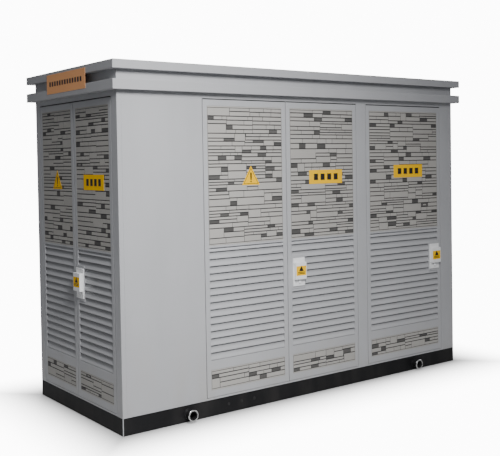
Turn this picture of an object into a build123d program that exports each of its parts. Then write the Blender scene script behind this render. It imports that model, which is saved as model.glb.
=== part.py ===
from build123d import *
import os

# A prefabricated transformer kiosk: a steel housing clad in stone-pattern boards, with a high-voltage
# room at the -X end, the transformer room in the middle and the low-voltage room at the +X end.
# Millimetres, +Z up. The long front faces -Y, and the origin is at the middle of the base's underside.

# --- Bays along the front, from the -X end to the +X end -----------------------------------------
POST_LEFT_W = 30.0  # narrow face of the two posts at the -X end
HV_PANEL_W = 595.0  # blank panel beside the high-voltage room
TX_LEFT_W = 697.0  # transformer room, left leaf
TX_RIGHT_W = 677.0  # transformer room, right leaf
MULLION_W = 95.0  # post between the transformer and low-voltage rooms
LV_LEAF_W = 835.0  # low-voltage room, single leaf
POST_RIGHT_W = 145.0  # wide face of the two posts at the +X end
HINGE_GAP = 5.0  # between a leaf and the post beside it
MEETING_GAP = 6.0  # between the two leaves of a pair
BODY_L = (POST_LEFT_W + HV_PANEL_W + TX_LEFT_W + TX_RIGHT_W + MULLION_W + LV_LEAF_W + POST_RIGHT_W
          + 4 * HINGE_GAP + MEETING_GAP)
BODY_W = 1250.0

# --- Heights, from the ground up -----------------------------------------------------------------
BASE_H = 110.0
SILL_H = 12.0
DOOR_GAP = 3.0  # above and below each leaf
WALL_TOP = 2144.0  # underside of the lower cornice band
BEAM_H = 38.0  # ring beam along the top of the walls
CORNICE_H = 62.0
NECK_H = 65.0
CAP_H = 55.0
OVERHANG = 48.0  # of both cornice bands beyond the walls
SILL_TOP = BASE_H + SILL_H
BEAM_Z = WALL_TOP - BEAM_H
DOOR_Z0 = SILL_TOP + DOOR_GAP
DOOR_Z1 = BEAM_Z - DOOR_GAP
NECK_Z = WALL_TOP + CORNICE_H
CAP_Z = NECK_Z + NECK_H
TOTAL_H = CAP_Z + CAP_H

# --- Frame ---------------------------------------------------------------------------------------
FRAME_D = 75.0  # depth of every ring and post, inward from the outer face
STEEL = 3.0  # folded steel of the housing
BASE_STEEL = 6.0  # channels of the base
CORNICE_D = 120.0
CROSS_W = 60.0  # width of the base's cross members
ANCHOR_R = 11.0
ANCHOR_EDGE = 45.0  # of the anchor holes from the base's sides
ANCHOR_INSET = 150.0  # of the anchor holes from the base's ends
PANEL_D = 20.0  # thickness of the blank panels
PARTITION_T = 3.0
FLOOR_T = 3.0
CABLE_SLOT = 150.0  # gap left in the floor for cables

# --- Lifting trunnions ---------------------------------------------------------------------------
TRUNNION_X = 1070.0
TRUNNION_Z = 52.0
TRUNNION_R = 28.0
TRUNNION_L = 48.0  # plain length between its flanges
FLANGE_R = 38.0
FLANGE_T = 6.0

# --- Leaves and fixed panels ---------------------------------------------------------------------
LEAF_T = 40.0
STILE = 34.0
TOP_RAIL = 41.0
MID_RAIL = 14.0
LOW_RAIL = 62.0
BOTTOM_RAIL = 46.0
BOARD_T = 12.0
LOW_BOARD_H = 136.0
BLADES = 16
PITCH = 48.0  # of the louvre blades
BLADE_FOOT = 6.0  # height of the lowest blade's edge above the opening's foot
BLADE_LIP = 5.0  # upright lip at each blade's outer edge
BLADE_LAP = 6.0  # height by which a blade's inner edge stands above the next blade's foot
BLADE_T = 2.0
LAST_BLADE = 25.0  # height left for the top blade
CASSETTE_D0 = 1.0  # outer edge of the louvre cassette, from the outer face
CASSETTE_D1 = 18.0
CASSETTE_STRIP = 2.0
LOUVRE_H = (BLADES - 1) * PITCH + BLADE_FOOT + LAST_BLADE
LOW_Z0 = DOOR_Z0 + BOTTOM_RAIL
LOW_Z1 = LOW_Z0 + LOW_BOARD_H
LOUVRE_Z0 = LOW_Z1 + LOW_RAIL
LOUVRE_Z1 = LOUVRE_Z0 + LOUVRE_H
UP_Z0 = LOUVRE_Z1 + MID_RAIL
UP_Z1 = DOOR_Z1 - TOP_RAIL

# --- Pivots --------------------------------------------------------------------------------------
PIVOT_EDGE = 20.0  # of the pivot from the leaf's edge
PIVOT_D = 12.0  # of the pivot from the outer face
PIN_R = 6.0
PIN_REACH = 24.0  # of a pin into its leaf
RUN = 0.05  # radial running clearance

# --- Locks ---------------------------------------------------------------------------------------
LOCK_W = 105.0
LOCK_H = 200.0
LOCK_Z = 895.0
LOCK_T = 6.0
BARREL_R = 11.0
BARREL_T = 9.0
BARREL_UP = 30.0  # of the key barrel above the plate's foot
SPINDLE_Z = LOCK_Z + 10.0
SPINDLE_R = 8.0
COVER_W = 97.0
COVER_H = 120.0
COVER_T = 24.0
COVER_WALL = 2.0
COVER_GAP = 0.3  # between the cover and the plate behind it
COVER_PIN_R = 3.0
COVER_PIN_BACK = 6.0  # from the cover's back to its pin
COVER_PIN_TOP = 5.0  # from the cover's top to its pin
COVER_REBATE = 4.0  # cut along the cover's top back edge, so that it swings clear of the plate
LUG_GAP = 0.5  # between a lug and the cover
LEVER_L = 70.0
LEVER_W = 16.0
LEVER_T = 10.0
LEVER_GAP = 1.0  # in front of the plate
CAM_R = 20.0
CAM_T = 6.0
CAM_GAP = 1.0  # behind the leaf
ROD_R = 5.0
ROD_TRAVEL = 12.0
ROD_REST = 1.0  # rod end's depth inside the leaf at rest
TONGUE_W = 18.0
TONGUE_H = 40.0
TONGUE_T = 4.0
TONGUE_NEAR = 6.0  # from the spindle's axis to a tongue's near end
TONGUE_GAP = 0.3  # behind the cam
KEEPER_CLEAR = 1.0
GUIDE_W = 24.0
GUIDE_H = 14.0
LOCK_BOX_W = 118.0
LOCK_BOX_H = 240.0
ROD_D = LEAF_T + CAM_GAP + CAM_T + TONGUE_GAP + ROD_R

# --- Signs ---------------------------------------------------------------------------------------
SIGN_T = 1.5
TRIANGLE = 150.0  # side of a warning triangle
BAR_W = 300.0
BAR_H = 100.0
PLATE_W = 600.0  # name plate on the roof's -X end
PLATE_T = 2.0

# --- Equipment -----------------------------------------------------------------------------------
TANK_L = 780.0
TANK_W = 460.0
TANK_H = 620.0
TANK_STEEL = 5.0
SKID_H = 90.0
FIN_DEPTH = 130.0
FIN_H = 480.0
FIN_T = 8.0
FIN_ROOT = 6.0  # plate that the fins are welded to
FIN_PITCH = 52.0
COVER_PLATE_T = 12.0
COVER_LIP = 35.0
RMU_D = 340.0
RMU_H = 1400.0
ROOM_CLEAR = 15.0  # between equipment and the walls
BOARD_D = 420.0  # depth of the low-voltage cabinet
BOARD_GAP = 60.0  # above the low-voltage cabinet

# --- Where the bays fall -------------------------------------------------------------------------
X0 = -BODY_L / 2
HV_PANEL = (X0 + POST_LEFT_W, X0 + POST_LEFT_W + HV_PANEL_W)
TX_LEFT = (HV_PANEL[1] + HINGE_GAP, HV_PANEL[1] + HINGE_GAP + TX_LEFT_W)
TX_RIGHT = (TX_LEFT[1] + MEETING_GAP, TX_LEFT[1] + MEETING_GAP + TX_RIGHT_W)
MULLION = (TX_RIGHT[1] + HINGE_GAP, TX_RIGHT[1] + HINGE_GAP + MULLION_W)
LV_LEAF = (MULLION[1] + HINGE_GAP, MULLION[1] + HINGE_GAP + LV_LEAF_W)
POST_RIGHT = (LV_LEAF[1] + HINGE_GAP, BODY_L / 2)
END_HALF = BODY_W / 2 - FRAME_D  # half the opening between the posts of an end wall
HV_LEFT = (-END_HALF + HINGE_GAP, -MEETING_GAP / 2)
HV_RIGHT = (MEETING_GAP / 2, END_HALF - HINGE_GAP)
END_PANEL = (-END_HALF + HINGE_GAP, END_HALF - HINGE_GAP)
PARTITION_HV_X = HV_PANEL[1] - PARTITION_T
PARTITION_LV_X = sum(MULLION) / 2
TX_MID = (HV_PANEL[1] + MULLION[0]) / 2

# Each wall has its own frame: u to the right as seen from outside, d inward from the outer face.
FRONT = Location((0, -BODY_W / 2, 0))
LEFT = Location((-BODY_L / 2, 0, 0), (0, 0, -90))
BACK = Location((0, BODY_W / 2, 0), (0, 0, 180))
RIGHT = Location((BODY_L / 2, 0, 0), (0, 0, 90))

# One line for each leaf: its wall, its two edges, the side of its pivots and the inset of its lock.
DOORS = {
    "hv_left": dict(wall=LEFT, u=HV_LEFT, pivot="low", lock=None),
    "hv_right": dict(wall=LEFT, u=HV_RIGHT, pivot="high", lock=62.0),
    "tx_left": dict(wall=FRONT, u=TX_LEFT, pivot="low", lock=None),
    "tx_right": dict(wall=FRONT, u=TX_RIGHT, pivot="high", lock=97.0),
    "lv": dict(wall=FRONT, u=LV_LEAF, pivot="low", lock=80.0),
}

nodes = {}


def block(u0, u1, d0, d1, z0, z1):
    """A box between two corners."""
    return Pos(u0, d0, z0) * Box(u1 - u0, d1 - d0, z1 - z0, align=(Align.MIN,) * 3)


def rod_z(u, d, r, z0, z1):
    """A round rod along Z."""
    return Pos(u, d, z0) * Cylinder(r, z1 - z0, align=(Align.CENTER, Align.CENTER, Align.MIN))


def rod_d(u, z, r, d0, d1):
    """A round rod along the depth, from d0 inward to d1."""
    turned = Rot(-90, 0, 0) * Cylinder(r, d1 - d0, align=(Align.CENTER, Align.CENTER, Align.MIN))
    return Pos(u, d0, z) * turned


def prism_z(points, z0, z1):
    """An upright prism on a plan outline."""
    face = make_face(Polyline(*points, close=True))
    return Pos(0, 0, z0) * extrude(face, z1 - z0, dir=(0, 0, 1))


def tube_z(u0, u1, d0, d1, z0, z1, wall):
    """An upright rectangular tube, open at both ends."""
    inner = block(u0 + wall, u1 - wall, d0 + wall, d1 - wall, z0, z1)
    return block(u0, u1, d0, d1, z0, z1) - inner


def tray(u0, u1, d0, d1, z0, z1, wall):
    """A folded sheet tray with its face at d0, open at d1."""
    inner = block(u0 + wall, u1 - wall, d0 + wall, d1, z0 + wall, z1 - wall)
    return block(u0, u1, d0, d1, z0, z1) - inner


def cabinet(x0, x1, y0, y1, z0, z1, wall):
    """The six sheets of a closed cabinet, edge to edge."""
    front_back = [block(x0, x1, y, y + wall, z0 + wall, z1 - wall) for y in (y0, y1 - wall)]
    ends = [block(x, x + wall, y0 + wall, y1 - wall, z0 + wall, z1 - wall) for x in (x0, x1 - wall)]
    return front_back + ends + [block(x0, x1, y0, y1, z, z + wall) for z in (z0, z1 - wall)]


def mitred_prism(run, near, far, z0, z1):
    """A mitred bar along U from depth near to depth far, where the face at d = 0 reaches out to run."""
    outline = [(near - run, near), (run - near, near), (run - far, far), (far - run, far)]
    return prism_z(outline, z0, z1)


def mitred_side(run, depth, z0, z1, wall):
    """One side of a mitred ring. With a wall it is a channel open inward, made of two flanges and a web."""
    if not wall:
        return [mitred_prism(run, 0, depth, z0, z1)]
    return [
        mitred_prism(run, 0, depth, z0, z0 + wall),
        mitred_prism(run, 0, wall, z0 + wall, z1 - wall),
        mitred_prism(run, 0, depth, z1 - wall, z1),
    ]


def mitred_ring(spread, depth, z0, z1, wall):
    """The four sides of a mitred ring around the body, spread beyond its walls."""
    pieces = []
    for frame, length in ((FRONT, BODY_L), (BACK, BODY_L), (LEFT, BODY_W), (RIGHT, BODY_W)):
        for piece in mitred_side(length / 2 + spread, depth, z0, z1, wall):
            pieces.append(frame * Pos(0, -spread, 0) * piece)
    return pieces


def keep(name, solids):
    """Store one node as a list of separate solids."""
    nodes[name] = [s for shape in solids for s in shape.solids()]


def lock_u(door):
    """Where a leaf's lock sits across it: its inset is from the edge opposite the pivots."""
    low, high = door["u"]
    return low + door["lock"] if door["pivot"] == "high" else high - door["lock"]


def pivot_u(door):
    """Where a leaf's pivots sit across it."""
    low, high = door["u"]
    return high - PIVOT_EDGE if door["pivot"] == "high" else low + PIVOT_EDGE


def lock_box_zone(door):
    """The block of space that a leaf's lock box fills, out to the stile beside it."""
    low, high = door["u"]
    u = lock_u(door)
    span = (low + STILE, u + LOCK_BOX_W / 2) if door["pivot"] == "high" else (u - LOCK_BOX_W / 2, high - STILE)
    return *span, 0, LEAF_T, LOCK_Z - LOCK_BOX_H / 2, LOCK_Z + LOCK_BOX_H / 2


# --- Leaves and fixed panels ---------------------------------------------------------------------
def panel_pieces(low, high, reach=0.0):
    """The folded steel pieces of one panel: two stiles, four rails and a sheet behind each board.

    The stiles of a fixed panel reach on across the gap to the sill and to the ring beam.
    """
    a = low + STILE
    b = high - STILE
    pieces = {}
    for name, u0, u1 in (("low_stile", low, a), ("high_stile", b, high)):
        hollow = block(u0 + STEEL, u1 - STEEL, STEEL, LEAF_T, LOW_Z0, UP_Z1)
        pieces[name] = block(u0, u1, 0, LEAF_T, DOOR_Z0 - reach, DOOR_Z1 + reach) - hollow
    for name, z0, z1 in (
        ("top_rail", UP_Z1, DOOR_Z1),
        ("mid_rail", LOUVRE_Z1, UP_Z0),
        ("low_rail", LOW_Z1, LOUVRE_Z0),
        ("bottom_rail", DOOR_Z0, LOW_Z0),
    ):
        pieces[name] = tray(a, b, 0, LEAF_T, z0, z1, STEEL)
    for name, z0, z1 in (("upper_sheet", UP_Z0, UP_Z1), ("lower_sheet", LOW_Z0, LOW_Z1)):
        pieces[name] = block(a, b, BOARD_T, BOARD_T + STEEL, z0, z1)
    return pieces


def panel_boards(low, high):
    """The upper and lower stone-pattern boards of one panel."""
    a = low + STILE
    b = high - STILE
    return [block(a, b, 0, BOARD_T, z0, z1) for z0, z1 in ((UP_Z0, UP_Z1), (LOW_Z0, LOW_Z1))]


def blade(a, b, z):
    """One louvre blade: an upright lip near the outer face and a slope that rises inward behind the next."""
    d0 = CASSETTE_D0
    d1 = CASSETTE_D1
    top = z + PITCH + BLADE_LAP
    outline = [
        (a, d0, z),
        (a, d0 + BLADE_T, z),
        (a, d0 + BLADE_T, z + BLADE_LIP),
        (a, d1, top),
        (a, d1 - BLADE_T, top),
        (a, d0, z + BLADE_LIP),
    ]
    return extrude(make_face(Polyline(*outline, close=True)), b - a, dir=(1, 0, 0))


def louvre_cassette(low, high, notch=None):
    """Sixteen blades between two side strips, notched where a lock box stands in the opening."""
    a = low + STILE
    b = high - STILE
    strip = CASSETTE_STRIP
    foot = LOUVRE_Z0 + BLADE_FOOT
    solids = [blade(a + strip / 2, b - strip / 2, foot + i * PITCH) for i in range(BLADES)]
    for u0 in (a, b - strip):
        solids.append(block(u0, u0 + strip, CASSETTE_D0, CASSETTE_D1, LOUVRE_Z0, LOUVRE_Z1))
    above = block(a, b, CASSETTE_D0, CASSETTE_D1, LOUVRE_Z1, LOUVRE_Z1 + PITCH)
    cassette = Part() + solids - above
    return cassette - notch if notch else cassette


def rod_guide(u, z0, z1):
    """A block on the leaf's back with a running hole for a lock rod."""
    guide = block(u - GUIDE_W / 2, u + GUIDE_W / 2, LEAF_T, ROD_D + 2 * ROD_R, z0, z1)
    return guide - rod_z(u, ROD_D, ROD_R + RUN, z0, z1)


def lock_box(door):
    """The upright tube that carries the lock, with a rod guide at each end and the spindle's hole."""
    zone = lock_box_zone(door)
    z0, z1 = zone[4:]
    u = lock_u(door)
    box = tube_z(*zone, STEEL)
    box += rod_guide(u, z1 - GUIDE_H, z1)
    box += rod_guide(u, z0, z0 + GUIDE_H)
    return box - rod_d(u, SPINDLE_Z, SPINDLE_R + RUN, 0, LEAF_T)


def leaf(door):
    """A door leaf: a panel with its pivot holes and, on an active leaf, its lock box and rod guides."""
    pieces = panel_pieces(*door["u"])
    if door["lock"]:
        u = lock_u(door)
        pieces["lock_box"] = lock_box(door)
        pieces["top_rail"] += rod_guide(u, UP_Z1, DOOR_Z1)
        pieces["bottom_rail"] += rod_guide(u, DOOR_Z0, LOW_Z0)
    u = pivot_u(door)
    reach = PIN_REACH + DOOR_GAP
    stile = f"{door['pivot']}_stile"
    pieces[stile] -= rod_z(u, PIVOT_D, PIN_R + RUN, DOOR_Z0, DOOR_Z0 + reach)
    pieces[stile] -= rod_z(u, PIVOT_D, PIN_R + RUN, DOOR_Z1 - reach, DOOR_Z1)
    return list(pieces.values())


# --- Locks ---------------------------------------------------------------------------------------
def cover_top():
    """The top edge of a lock's cover."""
    return SPINDLE_Z + COVER_H / 2


def cover_pin(u, half, radius):
    """The cover's pin across its top, or the hole for it."""
    d = -LOCK_T - COVER_GAP - COVER_PIN_BACK
    turned = Rot(0, 90, 0) * Cylinder(radius, 2 * half)
    return Pos(u, d, cover_top() - COVER_PIN_TOP) * turned


def lock_plate(u):
    """The lock's plate with a key barrel at its foot and two lugs for the cover's pin."""
    z0 = LOCK_Z - LOCK_H / 2
    plate = block(u - LOCK_W / 2, u + LOCK_W / 2, -LOCK_T, 0, z0, z0 + LOCK_H)
    plate -= rod_d(u, SPINDLE_Z, SPINDLE_R + RUN, -LOCK_T, 0)
    plate += rod_d(u, z0 + BARREL_UP, BARREL_R, -LOCK_T - BARREL_T, -LOCK_T)
    reach = COVER_GAP + 2 * COVER_PIN_BACK
    top = cover_top()
    for side in (-1, 1):
        u0, u1 = sorted((u + side * (COVER_W / 2 + LUG_GAP), u + side * LOCK_W / 2))
        plate += block(u0, u1, -LOCK_T - reach, -LOCK_T, top - 2 * COVER_PIN_TOP, top)
    return plate - cover_pin(u, LOCK_W, COVER_PIN_R + RUN)


def lock_cover(u):
    """The weather cover over the lever, folded on four sides, with its pin across the top."""
    d1 = -LOCK_T - COVER_GAP
    d0 = d1 - COVER_T
    z1 = cover_top()
    z0 = z1 - COVER_H
    half = COVER_W / 2
    wall = COVER_WALL
    head = 2 * COVER_PIN_TOP + wall
    shell = block(u - half, u + half, d0, d1, z0, z1)
    shell -= block(u - half + wall, u + half - wall, d0 + wall, d1, z0 + wall, z1 - head)
    shell -= block(u - half, u + half, d1 - COVER_REBATE, d1, z1 - COVER_REBATE, z1)
    return shell + cover_pin(u, LOCK_W / 2 - LUG_GAP, COVER_PIN_R)


def lever(u):
    """The bar that turns the lock, its spindle and the cam behind the leaf."""
    front = -LOCK_T - LEVER_GAP
    half = LEVER_L / 2
    cam_d = LEAF_T + CAM_GAP
    body = block(u - LEVER_W / 2, u + LEVER_W / 2, front - LEVER_T, front, SPINDLE_Z - half, SPINDLE_Z + half)
    body += rod_d(u, SPINDLE_Z, SPINDLE_R, front, cam_d)
    return body + rod_d(u, SPINDLE_Z, CAM_R, cam_d, cam_d + CAM_T)


def lock_rod(u, up):
    """A lock rod with a flat tongue behind the cam."""
    side = 1 if up else -1
    near = SPINDLE_Z + side * TONGUE_NEAR
    far = near + side * TONGUE_H
    end = DOOR_Z1 - ROD_REST if up else DOOR_Z0 + ROD_REST
    d0 = ROD_D - ROD_R
    tongue = block(u - TONGUE_W / 2, u + TONGUE_W / 2, d0, d0 + TONGUE_T, *sorted((near, far)))
    return tongue + rod_z(u, ROD_D, ROD_R, *sorted((far - side * 2 * ROD_R, end)))


# --- Signs ---------------------------------------------------------------------------------------
def triangle_sign(u, z):
    """A warning triangle on an upper board, standing on its side."""
    high = TRIANGLE * 3**0.5 / 2
    face = make_face(Polyline((u - TRIANGLE / 2, 0, z), (u + TRIANGLE / 2, 0, z), (u, 0, z + high), close=True))
    return extrude(face, SIGN_T, dir=(0, -1, 0))


def bar_sign(u, z, width):
    """A rectangular sign on an upper board."""
    return block(u - width / 2, u + width / 2, -SIGN_T, 0, z, z + BAR_H)


SIGN_Z = UP_Z0 + 386.0  # foot of the signs
SIGNS = {
    "hv_left": lambda u: triangle_sign(u + 5.0, SIGN_Z),
    "hv_right": lambda u: bar_sign(u + 17.0, SIGN_Z, 288.0),
    "tx_left": lambda u: triangle_sign(u + 38.0, SIGN_Z + 10.0),
    "tx_right": lambda u: bar_sign(u + 30.0, SIGN_Z, 321.0),
    "lv": lambda u: bar_sign(u + 42.0, SIGN_Z + 25.0, 326.0),
}


def make_doors():
    """Every leaf with its louvres, boards and sign, and the lock of each active leaf."""
    for name, door in DOORS.items():
        wall = door["wall"]
        low, high = door["u"]
        notch = block(*lock_box_zone(door)) if door["lock"] else None
        keep(f"{name}_leaf", [wall * piece for piece in leaf(door)])
        keep(f"{name}_louvres", [wall * louvre_cassette(low, high, notch)])
        keep(f"{name}_boards", [wall * board for board in panel_boards(low, high)])
        keep(f"{name}_sign", [wall * SIGNS[name]((low + high) / 2)])
        if door["lock"]:
            u = lock_u(door)
            keep(f"{name}_lock_plate", [wall * lock_plate(u)])
            keep(f"{name}_lock_cover", [wall * lock_cover(u)])
            keep(f"{name}_lever", [wall * lever(u)])
            keep(f"{name}_upper_rod", [wall * lock_rod(u, True)])
            keep(f"{name}_lower_rod", [wall * lock_rod(u, False)])


def make_fixed_panels():
    """The bolted panels of the back and of the +X end, which match the doors of the front."""
    spans = [(BACK, (-high, -low)) for low, high in (TX_LEFT, TX_RIGHT, LV_LEAF)]
    spans.append((RIGHT, END_PANEL))
    panels = [wall * piece for wall, u in spans for piece in panel_pieces(*u, DOOR_GAP).values()]
    keep("fixed_panels", panels)
    keep("fixed_louvres", [wall * louvre_cassette(*u) for wall, u in spans])
    keep("fixed_boards", [wall * board for wall, u in spans for board in panel_boards(*u)])


def make_blank_panels():
    """The blank side panels of the high-voltage room, front and back."""
    low, high = HV_PANEL
    front = FRONT * tray(low, high, 0, PANEL_D, SILL_TOP, BEAM_Z, STEEL)
    back = BACK * tray(-high, -low, 0, PANEL_D, SILL_TOP, BEAM_Z, STEEL)
    keep("hv_side_panels", [front, back])


# --- Base, posts and roof ------------------------------------------------------------------------
def make_base():
    """The base: four mitred channels and three cross channels, with anchor holes in its lower flange."""
    pieces = mitred_ring(0, FRAME_D, 0, BASE_H, BASE_STEEL)
    holes = []
    for x in (-BODY_L / 2 + ANCHOR_INSET, BODY_L / 2 - ANCHOR_INSET):
        for y in (-BODY_W / 2 + ANCHOR_EDGE, BODY_W / 2 - ANCHOR_EDGE):
            holes.append(rod_z(x, y, ANCHOR_R, 0, BASE_STEEL))
    pieces = [piece - holes for piece in pieces]
    inner = BODY_W / 2 - FRAME_D
    for x in (PARTITION_HV_X, TX_MID, PARTITION_LV_X):
        u0 = x - CROSS_W / 2
        u1 = x + CROSS_W / 2
        wall = BASE_STEEL
        pieces.append(block(u0, u1, -inner, inner, 0, wall))
        pieces.append(block(u0, u0 + wall, -inner, inner, wall, BASE_H - wall))
        pieces.append(block(u0, u1, -inner, inner, BASE_H - wall, BASE_H))
    keep("base_frame", pieces)


def trunnion(x):
    """A flanged lifting stub on the base's side, in its wall's frame."""
    outer = -2 * FLANGE_T - TRUNNION_L
    body = rod_d(x, TRUNNION_Z, FLANGE_R, -FLANGE_T, 0)
    body += rod_d(x, TRUNNION_Z, TRUNNION_R, -FLANGE_T - TRUNNION_L, -FLANGE_T)
    body += rod_d(x, TRUNNION_Z, FLANGE_R, outer, -FLANGE_T - TRUNNION_L)
    return body - rod_d(x, TRUNNION_Z, TRUNNION_R - BASE_STEEL, outer, -FLANGE_T)


def make_trunnions():
    """Four lifting trunnions, two on each long side."""
    keep("lifting_trunnions", [wall * trunnion(x) for wall in (FRONT, BACK) for x in (-TRUNNION_X, TRUNNION_X)])


def make_floor():
    """Floor plates on the base, with a cable slot in the two cable rooms."""
    x_in = BODY_L / 2 - FRAME_D
    y_in = BODY_W / 2 - FRAME_D
    half = CABLE_SLOT / 2
    z0 = BASE_H
    z1 = BASE_H + FLOOR_T
    plates = []
    for x0, x1 in ((-x_in, PARTITION_HV_X), (PARTITION_LV_X, x_in)):
        plates.append(block(x0, x1, -y_in, -half, z0, z1))
        plates.append(block(x0, x1, half, y_in, z0, z1))
    plates.append(block(PARTITION_HV_X, PARTITION_LV_X, -y_in, y_in, z0, z1))
    keep("floor_plates", plates)


def drilled_ring(z0, z1, wall, depth):
    """A ring around the walls, with keeper holes for the lock rods up to a depth above its underside."""
    pieces = mitred_ring(0, FRAME_D, z0, z1, wall)
    holes = []
    for door in DOORS.values():
        if door["lock"]:
            hole = rod_z(lock_u(door), ROD_D, ROD_R + KEEPER_CLEAR, z0, z0 + depth)
            holes.append(door["wall"] * hole)
    return [piece - holes for piece in pieces]


def make_posts():
    """Corner posts, and the posts between the rooms on both long sides."""
    z0 = SILL_TOP
    z1 = BEAM_Z
    left = (X0, X0 + POST_LEFT_W)
    corners = []
    mullions = []
    for wall, side in ((FRONT, 1), (BACK, -1)):
        for low, high in (left, POST_RIGHT):
            u0, u1 = sorted((side * low, side * high))
            corners.append(wall * tube_z(u0, u1, 0, FRAME_D, z0, z1, STEEL))
        u0, u1 = sorted((side * MULLION[0], side * MULLION[1]))
        mullions.append(wall * tube_z(u0, u1, 0, FRAME_D, z0, z1, STEEL))
        u0, u1 = sorted((side * (HV_PANEL[1] - CROSS_W), side * HV_PANEL[1]))
        mullions.append(wall * tube_z(u0, u1, PANEL_D, FRAME_D, z0, z1, STEEL))
    keep("corner_posts", corners)
    keep("mullion_posts", mullions)


def make_partitions():
    """Sheet walls between the three rooms."""
    y_in = BODY_W / 2 - FRAME_D
    z0 = BASE_H + FLOOR_T
    walls = []
    for x in (PARTITION_HV_X, PARTITION_LV_X):
        walls.append(block(x, x + PARTITION_T, -y_in, y_in, z0, BEAM_Z))
    keep("partitions", walls)


def make_hinge_pins():
    """Pivot pins above and below each leaf, standing on the sill and hanging from the ring beam."""
    pins = []
    for door in DOORS.values():
        u = pivot_u(door)
        pins.append(door["wall"] * rod_z(u, PIVOT_D, PIN_R, SILL_TOP, DOOR_Z0 + PIN_REACH))
        pins.append(door["wall"] * rod_z(u, PIVOT_D, PIN_R, DOOR_Z1 - PIN_REACH, BEAM_Z))
    keep("hinge_pins", pins)


def make_roof():
    """Two cornice bands with a set-back neck between them, and the roof sheet."""
    keep("lower_cornice", mitred_ring(OVERHANG, CORNICE_D, WALL_TOP, NECK_Z, STEEL))
    keep("roof_neck", mitred_ring(0, FRAME_D, NECK_Z, CAP_Z, STEEL))
    cap = mitred_ring(OVERHANG, CORNICE_D, CAP_Z, TOTAL_H, STEEL)
    x_in = BODY_L / 2 + OVERHANG - CORNICE_D
    y_in = BODY_W / 2 + OVERHANG - CORNICE_D
    cap.append(block(-x_in, x_in, -y_in, y_in, TOTAL_H - STEEL, TOTAL_H))
    keep("roof_cap", cap)
    z0 = WALL_TOP + CORNICE_H / 2
    z1 = TOTAL_H - 19.0
    half = PLATE_W / 2
    keep("name_plate", [LEFT * block(-half, half, -OVERHANG - PLATE_T, -OVERHANG, z0, z1)])


# --- Equipment -----------------------------------------------------------------------------------
def bushing(x, y, z, r, high, sheds):
    """A ribbed insulator with a terminal stud on top."""
    body = rod_z(x, y, r, z, z + high)
    step = high / (sheds + 1)
    for i in range(sheds):
        mid = z + step * (i + 0.8)
        body += rod_z(x, y, r * 1.7, mid, mid + step * 0.35)
    return body + rod_z(x, y, r * 0.35, z + high, z + high + 45)


def make_transformer():
    """The oil-filled transformer on its skid: tank, cover, fin banks and bushings."""
    z0 = BASE_H + FLOOR_T
    tank_z = z0 + SKID_H
    top = tank_z + TANK_H
    x0 = TX_MID - TANK_L / 2
    x1 = TX_MID + TANK_L / 2
    half = TANK_W / 2
    inner = block(x0 + TANK_STEEL, x1 - TANK_STEEL, -half + TANK_STEEL, half - TANK_STEEL,
                  tank_z + TANK_STEEL, top)
    keep("transformer_tank", [block(x0, x1, -half, half, tank_z, top) - inner])
    skids = []
    for y in (-half + 40, half - 40):
        skids.append(tray(x0 - 60, x1 + 60, y - 30, y + 30, z0, tank_z, BASE_STEEL))
    keep("transformer_skid", skids)
    lip = COVER_LIP
    cover = block(x0 - lip, x1 + lip, -half - lip, half + lip, top, top + COVER_PLATE_T)
    keep("tank_cover", [cover])
    fins = []
    count = int((TANK_L - 2 * FIN_PITCH) // FIN_PITCH)
    first = TX_MID - (count - 1) * FIN_PITCH / 2
    fin_z = tank_z + (TANK_H - FIN_H) / 2
    for side in (-1, 1):
        root = side * (half + FIN_ROOT)
        fins.append(block(x0 + COVER_LIP, x1 - COVER_LIP, *sorted((side * half, root)), fin_z, fin_z + FIN_H))
        tip = side * (half + FIN_DEPTH)
        for i in range(count):
            x = first + i * FIN_PITCH
            fins.append(block(x - FIN_T / 2, x + FIN_T / 2, *sorted((root, tip)), fin_z, fin_z + FIN_H))
    keep("cooling_fins", fins)
    seat = top + COVER_PLATE_T
    bushings = [bushing(TX_MID + i * 210.0, half * 0.45, seat, 24, 230, 5) for i in (-1, 0, 1)]
    bushings += [bushing(TX_MID + (i - 1.5) * 150.0, -half * 0.5, seat, 20, 90, 2) for i in range(4)]
    keep("bushings", bushings)


def make_ring_main_unit():
    """The high-voltage switchgear, whose three bays face the -X doors."""
    z0 = BASE_H + FLOOR_T
    back = PARTITION_HV_X
    face = back - RMU_D
    half = END_HALF - ROOM_CLEAR
    bay = 2 * half / 3
    solids = cabinet(face, back, -half, half, z0, z0 + RMU_H, STEEL)
    for i in range(3):
        y = -half + bay * (i + 0.5)
        wide = bay / 2 - 12
        solids.append(block(face - 8, face, y - wide, y + wide, z0 + 60, z0 + 560))
        solids.append(block(face - 14, face, y - wide, y + wide, z0 + 600, z0 + RMU_H - 60))
        for z in (z0 + 760, z0 + 960):
            knob = Pos(face - 14, y, z) * Rot(0, -90, 0)
            solids.append(knob * Cylinder(26, 12, align=(Align.CENTER, Align.CENTER, Align.MIN)))
    keep("ring_main_unit", solids)


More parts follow.
